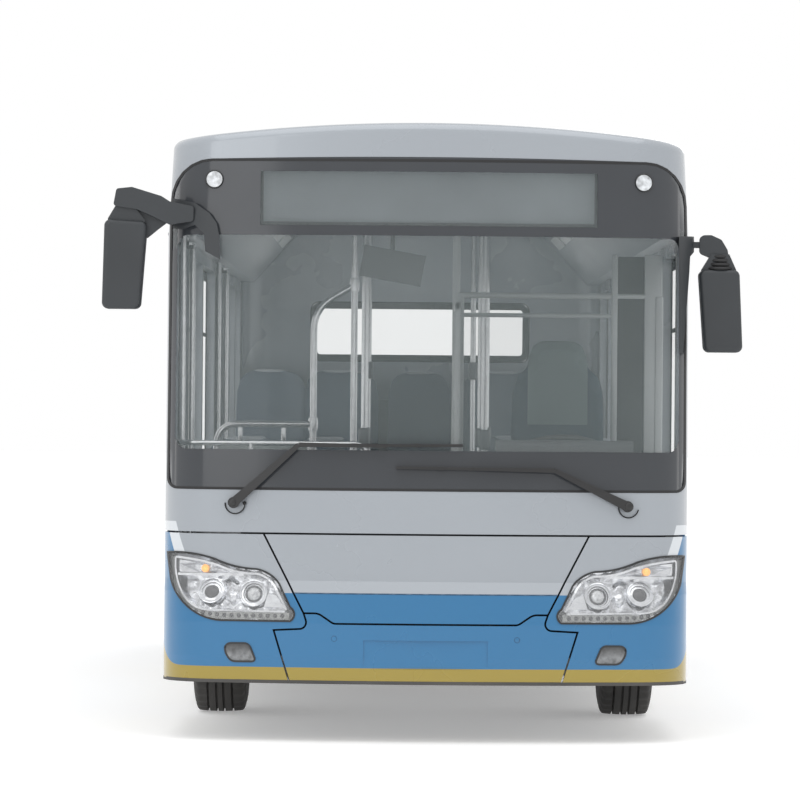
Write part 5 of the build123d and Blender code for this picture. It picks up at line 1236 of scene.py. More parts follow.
for side in (1, -1):
    for y in (front_axle_y, rear_axle_y):
        rails.append(ribbon(arch_path(y), 0.014, -0.03, 0.007, on_side(side), closed=False))
    drip = [(drip_from, drip_z), (drip_to, drip_z)]
    drips.append(ribbon(drip, 0.006, -0.002, 0.007, on_side(side), closed=False))
lip_half, lip_z = 1.2499, skirt_z - 0.004
front_lip = finer([(-lip_half, lip_z), (lip_half, lip_z)], 0.02, False)
rails.append(ribbon(front_lip, 0.008, -0.012, 0.0012, on_front, closed=False))
charge_flap = rounded_box(3.35, 3.67, 0.96, 1.14, 0.03)
seams.append(ribbon(charge_flap, seam_half, seam_low, 0.0006, on_side(1)))
locks.append(turned(lock_shape, (half_body, 3.63, 1.05), (1, 0, 0), 20))
piece("side_rub_rails", *merged(*rails), trim_rubber, "bus_body", smooth=False, slot="black_trim")
piece("side_flap_seams", *merged(*seams), groove_black, "bus_body", smooth=False, slot="black_trim")
piece("side_flap_locks", *merged(*locks), screw_steel, "bus_body", slot="rail_steel")
piece("side_lamp_bases", *merged(*lamp_bases), trim_rubber, "bus_body", slot="black_trim")
piece("side_lamp_lenses", *merged(*side_lamps), amber_lens, "bus_body", slot="lens")
piece("drip_rails", *merged(*drips), roof_paint, "bus_body", smooth=False, slot="body_white")


# Roof
# The hatches are ribbed plastic lids on a rubber seal, each with a pull handle inside its rim. The cooling
# unit's cover has louvred flanks and two fans under wire guards, clamped to the collars.
hatch_top = 2.99
hatch_places = (-2.4, 3.3)
hatch_seal_z = 2.925
unit_top = 3.132
fan_places = (-0.26, 0.86)
fan_radius = 0.3
fan_blades = 7
blade_parts = 4
guard_rings = (0.06, 0.12, 0.18, 0.24, fan_radius)
guard_top = unit_top + 0.0125
grille_black = finish("grille_black", (0.015, 0.015, 0.016), 0.5)
guard_wire = finish("fan_guard_wire", (0.1, 0.1, 0.105), 0.4, metal=0.7)
ribs, hatch_seals, pulls = [], [], []
for y in hatch_places:
    for n in range(5):
        x = -0.3 + 0.15 * n
        ribs.append(block((x - 0.02, y - 0.27, hatch_top - 0.004), (x + 0.02, y + 0.27, hatch_top + 0.007)))
    ring = rounded_box(-0.448, 0.448, y - 0.348, y + 0.348, 0.03)
    hatch_seals.append(tube([(px, py, hatch_seal_z) for px, py in [*ring, ring[0]]], 0.011))
    for x in (-0.41, 0.41):
        pulls.append(block((x - 0.022, y - 0.06, hatch_top - 0.004),
                           (x + 0.022, y + 0.06, hatch_top + 0.014)))
piece("hatch_ribs", *merged(*ribs), roof_paint, "bus_body", slot="body_white")
piece("hatch_seals", *merged(*hatch_seals), seal_rubber, "bus_body", slot="black_trim")
piece("hatch_stays", *merged(*pulls), trim_rubber, "bus_body", slot="black_trim")
fans, guards, louvres, wells = [], [], [], []
for y in fan_places:
    well = [(0.0002, 0.0), (fan_radius, 0.0), (fan_radius, -0.004)]
    wells.append(turned(well, (0, y, unit_top + 0.0012), (0, 0, 1), 48))
    fans.append(turned([*dome(0.06, 0.007), (0.062, 0.0)], (0, y, unit_top + 0.001), (0, 0, 1), 32))
    for n in range(fan_blades):
        blade = []
        for part in range(blade_parts + 1):
            reach = 0.055 + (fan_radius - 0.07) * part / blade_parts
            for tilt, lift in ((-0.17, 0.0015), (0.17, 0.0075)):
                turn = 2 * math.pi * n / fan_blades + tilt + 0.25 * part / blade_parts
                blade.append((reach * math.cos(turn), y + reach * math.sin(turn), unit_top + lift))
        blade_faces = [(2 * k, 2 * k + 1, 2 * k + 3, 2 * k + 2) for k in range(blade_parts)]
        fans.append(backed(blade, blade_faces, [(px, py, pz - 0.0012) for px, py, pz in blade]))
    circle = [2 * math.pi * k / 40 for k in range(41)]
    for radius in guard_rings:
        wire = [(radius * math.cos(t), y + radius * math.sin(t), guard_top) for t in circle]
        guards.append(tube(wire, 0.0025, 6))
    for k in range(4):
        spoke_x, spoke_y = 0.301 * math.cos(math.pi * k / 4), 0.301 * math.sin(math.pi * k / 4)
        guards.append(tube([(end * spoke_x, y + end * spoke_y, guard_top) for end in (-1, 1)], 0.003, 6))
for side in (1, -1):
    for n in range(5):
        z = 2.955 + 0.03 * n
        louvres.append(block((side * 0.857, -0.55, z), (side * 0.868, 1.15, z + 0.014), 0.003))
piece("fan_wells", *merged(*wells), grille_black, "bus_body", slot="black_trim")
piece("roof_fans", *merged(*fans), wiper_black, "bus_body", slot="black_trim")
piece("fan_guards", *merged(*guards), guard_wire, "bus_body", slot="black_trim")
piece("roof_unit_louvres", *merged(*louvres), grille_black, "bus_body", slot="black_trim")


# Rear lamps and trim
# Red moulded clusters with three round units each, set in rubber seals; a high brake lamp sits over the
# window, round reflectors are set in the bumper, and a bare plate is screwed to the lid.
red_lens = finish("tail_lamp_red", (0.42, 0.012, 0.012), 0.1, coat=0.8, mottle=0.2, patch=60, grain=340,
                  bump=0.15)
clear_lens = finish("reversing_lens", (0.72, 0.73, 0.74), 0.1, coat=0.8, mottle=0.2, patch=60, grain=340,
                    bump=0.2)
plate_white = finish("bare_plate", (0.62, 0.63, 0.63), 0.35, mottle=0.04, patch=8)
dress(red_lens, "tail_lamps")
tail_lamp_x = 1.085
tail_lamp_half = 0.075
tail_lamp_foot, tail_lamp_head = 0.78, 1.42
tail_corner = 0.2
bezel_shape = [(0.045, 0.0), (0.046, 0.0045), (0.0495, 0.005), (0.052, -0.006)]
unit_shape = [*dome(0.044, 0.005), (0.045, -0.004)]
# Round units of a tail lamp, columns: height, lens
tail_units = [(0.88, clear_lens), (1.1, red_lens), (1.32, amber_lens)]


def on_tail_corner(side):
    """Places on the rear wall and its rounded corner, mirrored for a side: across, up, outwards."""
    def place(x, z, out):
        past = max(0.0, x - (half_body - tail_corner))
        round_y = tail_y - tail_corner + math.sqrt((tail_corner + out) ** 2 - past**2)
        return (side * x, round_y if past else tail_y + out, z)
    return place


lamp_seals, bezels, unit_shapes = [], [], {}
for side in (1, -1):
    place = on_tail_corner(side)
    edge = rounded_box(tail_lamp_x - tail_lamp_half, tail_lamp_x + tail_lamp_half, tail_lamp_foot,
                       tail_lamp_head, 0.03)
    lamp_seals.append(ribbon(finer(edge, 0.03), 0.004, -0.004, 0.008, place))
    spot = Vector(place(tail_lamp_x, 1.0, 0.004))
    facing = Vector((side * 0.035, 0.197, 0)).normalized()
    for z, lens_stuff in tail_units:
        at = (spot.x, spot.y, z)
        bezels.append(turned(bezel_shape, at, facing, hollow=True))
        unit_shapes.setdefault(lens_stuff.name, (lens_stuff, []))[1].append(turned(unit_shape, at, facing))
piece("tail_lamp_seals", *merged(*lamp_seals), seal_rubber, "bus_body", smooth=False, slot="black_trim")
piece("tail_lamp_bezels", *merged(*bezels), chrome, "bus_body", slot="lamp_chrome")
for name, (lens_stuff, shapes) in unit_shapes.items():
    piece(f"tail_lamp_units_{name}", *merged(*shapes), lens_stuff, "bus_body", slot="red_lens")
reflector_shape = [*dome(0.035, 0.004), (0.04, 0.003), (0.041, -0.002)]
reflectors = [turned(reflector_shape, (x, tail_y, 0.37), (0, 1, 0)) for x in (-0.93, 0.93)]
brake_y = on_tail(0, 2.35, 0)[1]
reflectors.append(block((-0.22, brake_y - 0.004, 2.335), (0.22, brake_y + 0.012, 2.365), 0.005))
piece("rear_reflectors", *merged(*reflectors), red_lens, "bus_body", slot="red_lens")


def on_rear(x, z, out):
    """A place on the rear wall and both of its rounded corners: across, up, outwards."""
    return on_tail_corner(1 if x >= 0 else -1)(abs(x), z, out)


bumper_foot = finer([(-1.2, skirt_z + 0.006), (1.2, skirt_z + 0.006)], 0.04, False)
rear_lip = ribbon(bumper_foot, 0.006, -0.006, 0.002, on_rear, closed=False)
piece("rear_bumper_lip", *rear_lip, trim_rubber, "bus_body", smooth=False, slot="black_trim")
hood_count, hood_pitch = 9, 0.038
hood_half, hood_z, hood_tall = 0.64, 0.648, 0.008
lid_in = tail_y - 0.0005
hoods = []
for n in range(hood_count):
    z = hood_z + hood_pitch * n
    hoods.append(block((-hood_half, lid_in, z), (hood_half, tail_y + 0.0085, z + hood_tall), 0.003))
piece("rear_lid_hoods", *merged(*hoods), body_paint, "rear_lid", slot="body_white")
plate_out = tail_y + 0.0035
plate = block((-0.26, tail_y - 0.001, 1.1), (0.26, plate_out, 1.21), 0.002)
piece("rear_bare_plate", *plate, plate_white, "rear_lid", slot="body_white")
screw_shape = [*dome(0.006, 0.002), (0.007, 0.0)]
plate_screws = [turned(screw_shape, (x, plate_out, 1.155), (0, 1, 0), 16) for x in (-0.22, 0.22)]
lid_lock_shape = [*dome(0.014, 0.003), (0.02, 0.002), (0.021, -0.002)]
lid_locks = [turned(lid_lock_shape, (x, tail_y, 0.54), (0, 1, 0), 24) for x in (-0.7, 0.7)]
piece("rear_lid_locks", *merged(*plate_screws, *lid_locks), screw_steel, "rear_lid", slot="rail_steel")
pull = [
    block((-0.09, lid_in, 0.515), (0.09, tail_y + 0.0105, 0.55), 0.005),
    block((-0.075, lid_in, 0.55), (0.075, plate_out, 0.585), 0.002),
]
piece("rear_lid_pull", *merged(*pull), trim_rubber, "rear_lid", slot="black_trim")


# Passenger doors
# Leaves of black anodised bar with bonded glass, hung on steel arms from turning posts; a rubber edge closes
# the gap between leaves, and a pull bar is screwed inside each.
leaf_black = finish("door_leaf_black", (0.03, 0.031, 0.033), 0.35, metal=0.6, mottle=0.1, grain=400,
                    bump=0.05)
bar_steel = finish("grab_bar_steel", (0.56, 0.57, 0.58), 0.25, metal=0.9, mottle=0.08, patch=20, grain=500,
                   bump=0.03)
leaf_outer_x = -1.24
leaf_inner_x = -1.21
# Leaves, columns: name, heel at the jamb, toe at the middle
leaves = [
    ("front_door_fore", -4.644, -4.11), ("front_door_aft", -3.566, -4.1),
    ("mid_door_fore", 0.186, 0.795), ("mid_door_aft", 1.414, 0.805),
]
leaf_stile = 0.048
# Panes of a leaf, columns: foot, head
leaf_panes = [(0.503, 1.06), (1.108, 2.326)]
edging_in = 0.014
pull_foot, pull_head = 0.92, 1.5
pull_lugs = (0.94, 1.48)


def on_leaf(y, z, out):
    """A place on the outside of a leaf's glass: along, up, outwards."""
    return (leaf_outer_x - out, y, z)


for name, heel, toe in leaves:
    dress(leaf_black, f"{name}_leaf")
    dress(bar_steel, f"{name}_post")
    y0, y1 = min(heel, toe), max(heel, toe)
    way = 1 if toe > heel else -1
    edging = []
    for foot, head in leaf_panes:
        pane = rounded_box(y0 + leaf_stile + edging_in, y1 - leaf_stile - edging_in, foot + edging_in,
                           head - edging_in, 0.03)
        edging.append(ribbon(pane, 0.0135, 0.0004, 0.0015, on_leaf))
    edging.append(block((-1.2445, toe - way * 0.012, 0.432), (-1.2115, toe + way * 0.003, 2.368), 0.0025))
    piece(f"{name}_edging", *merged(*edging), seal_rubber, f"{name}_leaf", smooth=False, slot="black_trim")
    bar_y = toe - way * 0.026
    stand = leaf_inner_x + 0.014
    bar = [tube([(stand, bar_y, pull_foot), (stand, bar_y, pull_head)], 0.0075)]
    bar += [tube([(leaf_inner_x - 0.002, bar_y, z), (stand, bar_y, z)], 0.009) for z in pull_lugs]
    piece(f"{name}_pull_bar", *merged(*bar), bar_steel, f"{name}_leaf", slot="rail_steel")


# Cab fittings
# The dash is a grained moulding with a hooded cluster of dials and a bank of rockers; the wheel is foam over
# steel with a moulded cap. The cab floor is sheet vinyl over a welded platform.
dash_plastic = finish("dash_plastic", (0.05, 0.053, 0.057), 0.6, grain=420, bump=0.25, mottle=0.1)
wheel_foam = finish("steering_wheel_foam", (0.022, 0.022, 0.023), 0.55, grain=380, bump=0.2)
dial_black = finish("dial_face", (0.008, 0.008, 0.009), 0.12, coat=0.8)
dress(dash_plastic, "dashboard")
dress(wheel_foam, "steering_wheel")
dress(floor_vinyl, "cab_platform")
cluster_up = Vector((0, 0.848, 0.53))
cluster_y, cluster_z = -4.655, 1.35
# Dials, columns: across, down the cluster's face from its middle, radius
dial_places = [(0.53, 0.0, 0.05), (0.79, 0.0, 0.05), (0.66, -0.03, 0.028), (0.66, 0.035, 0.028)]
dials = []
for x, drop, radius in dial_places:
    dial_shape = [
        (0.0002, 0.001), (radius, 0.001), (radius + 0.004, 0.007), (radius + 0.01, 0.005),
        (radius + 0.011, -0.003),
    ]
    dial_at = (x, cluster_y + drop * cluster_up.z, cluster_z - drop * cluster_up.y)
    dials.append(turned(dial_shape, dial_at, cluster_up))
piece("dash_dials", *merged(*dials), dial_black, "bus_body", slot="dash_grey")
# Banks of rockers, columns: first place across, pitch, y
rocker_banks = [(0.93, 0.036, -4.6), (0.3, 0.042, -4.55)]
rocker_count = 6
dash_slope_y, dash_slope_z, dash_slope = -4.685, 1.37, 0.65
rockers = []
for first, pitch, y in rocker_banks:
    z = dash_slope_z - dash_slope * (y - dash_slope_y)
    for n in range(rocker_count):
        x = first + pitch * n
        rockers.append(block((x - 0.013, y - 0.019, z - 0.014), (x + 0.013, y + 0.019, z + 0.012), 0.005))
piece("dash_rockers", *merged(*rockers), wiper_black, "bus_body", slot="dash_grey")
wheel_tilt = math.radians(28)
wheel_up = Vector((0, math.sin(wheel_tilt), math.cos(wheel_tilt)))
wheel_mid = Vector((0.66, -4.4, 1.33))
cap_shape = [*dome(0.062, 0.014, base=0.024), (0.068, 0.018), (0.069, 0.006)]
wheel_cap = turned(cap_shape, tuple(wheel_mid), wheel_up)
grip_circle, grip_radius = 0.235, 0.0172
stitch_count = 48
flat = wheel_up.orthogonal().normalized()
aside = wheel_up.cross(flat)
ring = [2 * math.pi * m / 10 for m in range(11)]
grips = []
for k in range(stitch_count):
    turn = 2 * math.pi * k / stitch_count
    ray = flat * math.cos(turn) + aside * math.sin(turn)
    middle = wheel_mid + ray * grip_circle
    stitch = [middle + ray * grip_radius * math.cos(a) + wheel_up * grip_radius * math.sin(a) for a in ring]
    grips.append(tube(stitch, 0.0014, 5))
piece("steering_wheel_cap", *wheel_cap, dash_plastic, "steering_wheel", slot="dash_grey")
piece("steering_wheel_stitches", *merged(*grips), seal_rubber, "steering_wheel", slot="dash_grey")


# Cab screen and door
# A welded frame of light grey bar with sheet panels below and clear plastic above; a tube runs up to the
# ceiling, and the half-glazed door swings on two pins by it.
frame_grey = finish("cab_frame_grey", (0.34, 0.355, 0.36), 0.4, mottle=0.06, grain=300, bump=0.06)
cab_clear = glazing("cab_glazing", (0.3, 0.33, 0.33), 0.08)
panel_dark = finish("cab_panel_dark", (0.014, 0.015, 0.017), 0.6, mottle=0.1, grain=300, bump=0.06)
low_floor = 0.4
ceiling_z = 2.73
sill_z, head_z = 1.28, 2.15
post_head = 2.36
screen_y0, screen_y1 = -3.5, -3.46
screen_y = -3.48
bar_soft = 0.006
hinge_x, hinge_y = 0.15, -3.53
hinge_places = (0.6, 1.9)
screen_bars = [
    block((0.15, screen_y0, low_floor), (0.19, screen_y1, head_z), bar_soft),
    block((1.155, screen_y0, low_floor), (1.195, screen_y1, head_z), bar_soft),
    tube([(0.16, screen_y, head_z), (1.19, screen_y, head_z)], 0.015, 12),
    tube([(0.16, screen_y, head_z - 0.1), (0.96, screen_y, head_z - 0.1)], 0.011, 12),
    block((0.935, screen_y0, sill_z - 0.02), (0.965, screen_y1, post_head), bar_soft),
    block((1.1, screen_y0 + 0.005, sill_z - 0.02), (1.19, screen_y1 - 0.005, post_head), bar_soft),
    block((0.16, screen_y0, sill_z - 0.04), (1.19, screen_y1, sill_z), bar_soft),
    block((0.16, screen_y0, low_floor), (1.19, screen_y1, low_floor + 0.04), bar_soft),
    block((0.17, screen_y0 + 0.012, low_floor + 0.02), (1.18, screen_y1 - 0.012, sill_z - 0.02), 0.003),
    tube([(0.15, screen_y, low_floor), (0.15, screen_y, ceiling_z)], 0.019, 16),
]
for z in hinge_places:
    screen_bars.append(tube([(hinge_x, hinge_y, z - 0.065), (hinge_x, hinge_y, z + 0.065)], 0.007))
    for ear in (z - 0.053, z + 0.053):
        screen_bars.append(block((hinge_x - 0.009, hinge_y - 0.009, ear - 0.01),
                                 (hinge_x + 0.009, -3.498, ear + 0.01), 0.002))
screen_frame = piece("cab_screen_frame", *merged(*screen_bars), frame_grey, "bus_body", slot="panel_grey")
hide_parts("cab_partition")
screen_panel = block((0.955, screen_y0 + 0.012, sill_z - 0.02), (1.11, screen_y1 - 0.012, 2.35), 0.003)
piece("cab_screen_panel", *screen_panel, panel_dark, "bus_body", slot="panel_grey")
screen_sheet = block((0.165, screen_y - 0.004, sill_z - 0.01), (0.965, screen_y + 0.004, head_z - 0.01),
                     0.001)
piece("cab_screen_glazing", *screen_sheet, cab_clear, "bus_body", slot="glass")
door_y0, door_y1 = -4.184, -3.544
door_foot, door_head = 0.44, 2.1
door_x0, door_x1 = 0.136, 0.164
bar_wide = 0.04
door_bars = [
    block((door_x0, door_y0, door_foot), (door_x1, door_y0 + bar_wide, door_head), bar_soft),
    block((door_x0, door_y1 - bar_wide, door_foot), (door_x1, door_y1, door_head), bar_soft),
    block((door_x0, door_y0, door_head - bar_wide), (door_x1, door_y1, door_head), bar_soft),
    block((door_x0, door_y0, sill_z - bar_wide), (door_x1, door_y1, sill_z), bar_soft),
    block((door_x0, door_y0, door_foot), (door_x1, door_y1, door_foot + bar_wide), bar_soft),
    block((0.143, door_y0 + 0.02, door_foot + 0.02), (0.157, door_y1 - 0.02, sill_z - 0.02), 0.003),
]
knuckle_shape = [
    (0.0075, -0.04), (0.0132, -0.04), (0.014, -0.038), (0.014, 0.038), (0.0132, 0.04), (0.0075, 0.04),
]
for z in hinge_places:
    door_bars.append(turned(knuckle_shape, (hinge_x, hinge_y, z), (0, 0, 1), 20, True))
    door_bars.append(block((0.145, door_y1 - 0.003, z - 0.039), (0.155, -3.541, z + 0.039), 0.002))
door_frame = piece("cab_door_frame", *merged(*door_bars), frame_grey, "cab_door", slot="panel_grey")
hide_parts("cab_door")
door_sheet = block((0.1465, door_y0 + 0.03, sill_z - 0.01), (0.1535, door_y1 - 0.03, door_head - 0.03), 0.001)
piece("cab_door_glazing", *door_sheet, cab_clear, "cab_door", slot="glass")
latch = [block((0.13, door_y0 + 0.012, 1.1), (0.17, door_y0 + 0.05, 1.2), 0.006),
         tube([(0.126, door_y0 + 0.03, 1.15), (0.126, door_y0 + 0.14, 1.15)], 0.008)]
piece("cab_door_latch", *merged(*latch), wiper_black, "cab_door", slot="black_trim")


# Driver's seat
# Foam pads in a woven cover with a pale middle panel, and arm rests in vinyl. The cover is sewn smaller
# than the foam, so the pads swell between their seams.
seat_cloth = finish("driver_seat_cloth", (0.016, 0.034, 0.05), 0.85, mottle=0.15, patch=40, grain=620,
                    bump=0.3)
pale_cloth = (0.095, 0.125, 0.125)
arm_vinyl = finish("seat_piping", (0.02, 0.022, 0.025), 0.5)
seat_x, seat_y = 0.66, -3.94
panel_half = 0.15
panel_foot = 1.5
pad_pressure = 4.0
pad_steps = 20


def middle_panel(material, x, half, foot, colour):
    """Colours the middle of a pad above a height differently from the rest."""
    tree = material.node_tree
    shade = tree.nodes["Principled BSDF"]
    place = tree.nodes.new("ShaderNodeTexCoord")
    split = tree.nodes.new("ShaderNodeSeparateXYZ")
    tree.links.new(place.outputs["Object"], split.inputs["Vector"])
    off = tree.nodes.new("ShaderNodeMath")
    off.operation = "SUBTRACT"
    off.inputs[1].default_value = x
    tree.links.new(split.outputs["X"], off.inputs[0])
    apart = tree.nodes.new("ShaderNodeMath")
    apart.operation = "ABSOLUTE"
    tree.links.new(off.outputs["Value"], apart.inputs[0])
    inside = tree.nodes.new("ShaderNodeMath")
    inside.operation = "LESS_THAN"
    inside.inputs[1].default_value = half
    tree.links.new(apart.outputs["Value"], inside.inputs[0])
    above = tree.nodes.new("ShaderNodeMath")
    above.operation = "GREATER_THAN"
    above.inputs[1].default_value = foot
    tree.links.new(split.outputs["Z"], above.inputs[0])
    both = tree.nodes.new("ShaderNodeMath")
    both.operation = "MULTIPLY"
    tree.links.new(inside.outputs["Value"], both.inputs[0])
    tree.links.new(above.outputs["Value"], both.inputs[1])
    panel = tree.nodes.new("ShaderNodeMix")
    panel.data_type = "RGBA"
    panel.inputs["B"].default_value = (*colour, 1)
    tree.links.new(both.outputs["Value"], panel.inputs["Factor"])
    tree.links.new(shade.inputs["Base Color"].links[0].from_socket, panel.inputs["A"])
    tree.links.new(panel.outputs["Result"], shade.inputs["Base Color"])


middle_panel(seat_cloth, seat_x, panel_half, panel_foot, pale_cloth)


def stuffed(name, rows, material, body, voxel=0.008, most=0.014):
    """A foam pad: outline rows joined into a solid, rounded by remeshing, then swollen as cloth."""
    count = len(rows[0])
    verts = [point for row in rows for point in row]
    faces = [tuple(reversed(range(count))), tuple(range(len(verts) - count, len(verts)))]
    for r in range(len(rows) - 1):
        for n in range(count):
            a, b = r * count + n, r * count + (n + 1) % count
            faces.append((a, b, b + count, a + count))
    pad = piece(name, verts, faces, material, body, slot="seat_fabric")
    solid = pad.modifiers.new("remesh", "REMESH")
    solid.mode = "VOXEL"
    solid.voxel_size = voxel
    ease = pad.modifiers.new("ease", "SMOOTH")
    ease.iterations = 12
    ease.factor = 0.5
    pad.data = bpy.data.meshes.new_from_object(pad.evaluated_get(bpy.context.evaluated_depsgraph_get()))
    pad.modifiers.clear()
    start = [v.co.copy() for v in pad.data.vertices]
    cloth = pad.modifiers.new("cloth", "CLOTH")
    cloth.settings.use_pressure = True
    cloth.settings.uniform_pressure_force = pad_pressure
    cloth.settings.effector_weights.gravity = 0.0
    for step in range(1, pad_steps + 1):
        bpy.context.scene.frame_set(step)
    swollen = bpy.data.meshes.new_from_object(pad.evaluated_get(bpy.context.evaluated_depsgraph_get()))
    pad.modifiers.clear()
    bpy.context.scene.frame_set(1)
    for vertex, old in zip(swollen.vertices, start):
        move = vertex.co - old
        if move.length > most:
            vertex.co = old + move * (most / move.length)
    pad.data = swollen
    for face in pad.data.polygons:
        face.use_smooth = True
    return pad


cushion_half = 0.236
# The cushion's outline in side view, columns: y from the seat's middle, height
cushion_outline = [(-0.228, 1.012), (-0.236, 1.07), (0.165, 1.086), (0.184, 1.012)]
cushion_rows = [
    [(seat_x + side * cushion_half, seat_y + y, z) for y, z in cushion_outline] for side in (-1, -0.5, 0.5, 1)
]
cushion = stuffed("driver_cushion", cushion_rows, seat_cloth, "bus_body")
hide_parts("driver_seat")
# The back's outline, columns: height, half-width, front and rear face from the seat's middle, dish
back_outline = [
    (1.11, 0.238, 0.2, 0.295, 0.0), (1.3, 0.242, 0.232, 0.326, 0.02), (1.5, 0.246, 0.268, 0.352, 0.02),
    (1.66, 0.24, 0.282, 0.354, 0.012), (1.745, 0.216, 0.288, 0.35, 0.008),
    (1.795, 0.166, 0.292, 0.348, 0.0), (1.86, 0.15, 0.298, 0.344, 0.0), (1.91, 0.127, 0.305, 0.34, 0.0),
    (1.936, 0.078, 0.312, 0.334, 0.0),
]
back_rows = []
for z, half, front, rear, dish in back_outline:
    row = [(-1, front), (-0.5, front + dish), (0.5, front + dish), (1, front), (1, rear), (-1, rear)]
    back_rows.append([(seat_x + half * across, seat_y + y, z) for across, y in row])
stuffed("driver_back", back_rows, seat_cloth, "bus_body")


def bent(points, radius, count=6):
    """The line of a bar with its corners bent to a radius."""
    spots = [Vector(p) for p in points]
    line = [spots[0]]
    for a, b, c in zip(spots, spots[1:], spots[2:]):
        reach = min(radius, 0.48 * (a - b).length, 0.48 * (c - b).length)
        start, end = b + (a - b).normalized() * reach, b + (c - b).normalized() * reach
        for k in range(count + 1):
            t = k / count
            line.append(start * (1 - t) ** 2 + b * 2 * t * (1 - t) + end * t * t)
    return [tuple(spot) for spot in [*line, spots[-1]]]


arm_rests = [
    tube(bent([(seat_x + side * 0.27, seat_y + 0.3, 1.3), (seat_x + side * 0.275, seat_y + 0.26, 1.33),
               (seat_x + side * 0.275, seat_y - 0.06, 1.32)], 0.04), 0.024, 14)
    for side in (1, -1)
]
piece("driver_arm_rests", *merged(*arm_rests), arm_vinyl, "bus_body", slot="seat_fabric")


# Passenger seats
# Moulded plastic shells with a rounded head and rolled rim, bolted to a tube pedestal on a foot plate; each
# has a grab loop on top of its back.
shell_plastic = finish("seat_shell_plastic", (0.06, 0.085, 0.115), 0.42, mottle=0.05, grain=420, bump=0.1)
pedestal_grey = finish("seat_pedestal_grey", (0.16, 0.165, 0.17), 0.45, metal=0.4)
loop_grey = finish("seat_loop_grey", (0.3, 0.32, 0.34), 0.4, grain=400, bump=0.1)
high_floor = 0.8
pair_right, pair_left = (-0.97, -0.535), (0.535, 0.97)
# Rows of seats, columns: y, floor, centres across
seat_rows = [
    *[(-1.9 + 0.75 * n, low_floor, (pair_right if n < 2 else ()) + pair_left) for n in range(5)],
    (3.35, high_floor, pair_right + pair_left), (4.1, high_floor, pair_right + pair_left),
    (4.8, high_floor, (-0.97, -0.485, 0.0, 0.485, 0.97)),
]
# The shell's middle line in side view, columns: y, height above the floor, half-width
shell_line = [
    (-0.222, 0.418, 0.19), (-0.218, 0.444, 0.203), (-0.19, 0.456, 0.209), (-0.06, 0.446, 0.211),
    (0.08, 0.438, 0.211), (0.145, 0.45, 0.211), (0.184, 0.5, 0.211), (0.2, 0.62, 0.211), (0.213, 0.76, 0.21),
    (0.226, 0.87, 0.205), (0.238, 0.94, 0.186), (0.247, 0.975, 0.15), (0.256, 0.99, 0.1),
]
shell_columns = 12
shell_thick = 0.014
shell_dish = 0.018


def seat_shell(x, y, z):
    """Points and faces of one shell, dished across and closed round its rim."""
    fronts, backs, faces = [], [], []
    for n, (sy, sz, half) in enumerate(shell_line):
        before, after = shell_line[max(n - 1, 0)], shell_line[min(n + 1, len(shell_line) - 1)]
        ty, tz = after[0] - before[0], after[1] - before[1]
        long = math.hypot(ty, tz)
        ny, nz = -tz / long, ty / long
        for c in range(shell_columns + 1):
            u = 2 * c / shell_columns - 1
            lift = shell_dish * abs(u) ** 3
            for points, off in ((fronts, lift), (backs, lift - shell_thick)):
                points.append((x + u * half, y + sy + ny * off, z + sz + nz * off))
    wide = shell_columns + 1
    for r in range(len(shell_line) - 1):
        for c in range(shell_columns):
            a = r * wide + c
            faces.append((a, a + 1, a + wide + 1, a + wide))
    return backed(fronts, faces, backs)


shells, loops, pedestals = [], [], []
for y, z, row in seat_rows:
    for x in row:
        shells.append(seat_shell(x, y, z))
        loop = [(-0.11, 0.25, 0.93), (-0.1, 0.262, 0.998), (0.1, 0.262, 0.998), (0.11, 0.25, 0.93)]
        loops.append(tube(bent([(x + lx, y + ly, z + lz) for lx, ly, lz in loop], 0.035), 0.011, 8))
        pedestals.append(tube([(x, y, z + 0.01), (x, y, z + 0.425)], 0.03, 12))
        pedestals.append(block((x - 0.09, y - 0.09, z), (x + 0.09, y + 0.09, z + 0.012), 0.004))
        pedestals.append(block((x - 0.12, y - 0.15, z + 0.4), (x + 0.12, y + 0.15, z + 0.428), 0.006))
shell_piece = piece("passenger_seat_shells", *merged(*shells), shell_plastic, "bus_body", slot="seat_blue")
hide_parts("passenger_seats")
piece("passenger_seat_loops", *merged(*loops), loop_grey, "bus_body", slot="seat_blue")
piece("passenger_seat_pedestals", *merged(*pedestals), pedestal_grey, "bus_body", slot="rail_steel")


# Rails and lining
# Brushed steel tube between floor and ceiling on screwed flanges; a bent guard with a panel stands on the
# wheel box by the front door. Grey panels line the walls, and long lamps are let into the duct slopes.
lining_grey = finish("lining_grey", (0.23, 0.25, 0.25), 0.5, mottle=0.05, grain=300, bump=0.08)
button_grey = finish("stop_button_grey", (0.12, 0.13, 0.14), 0.45)
lamp_diffuser = finish("ceiling_diffuser", (0.55, 0.57, 0.57), 0.4, mottle=0.03)
guard_y = -3.345
guard_z = 1.49
guard_foot = 1.105
guard_out, guard_in = -1.06, -0.57
guard_pole_x = -0.365
guard_bend_z, guard_join_z = 2.08, 2.2
pole_radius = 0.017
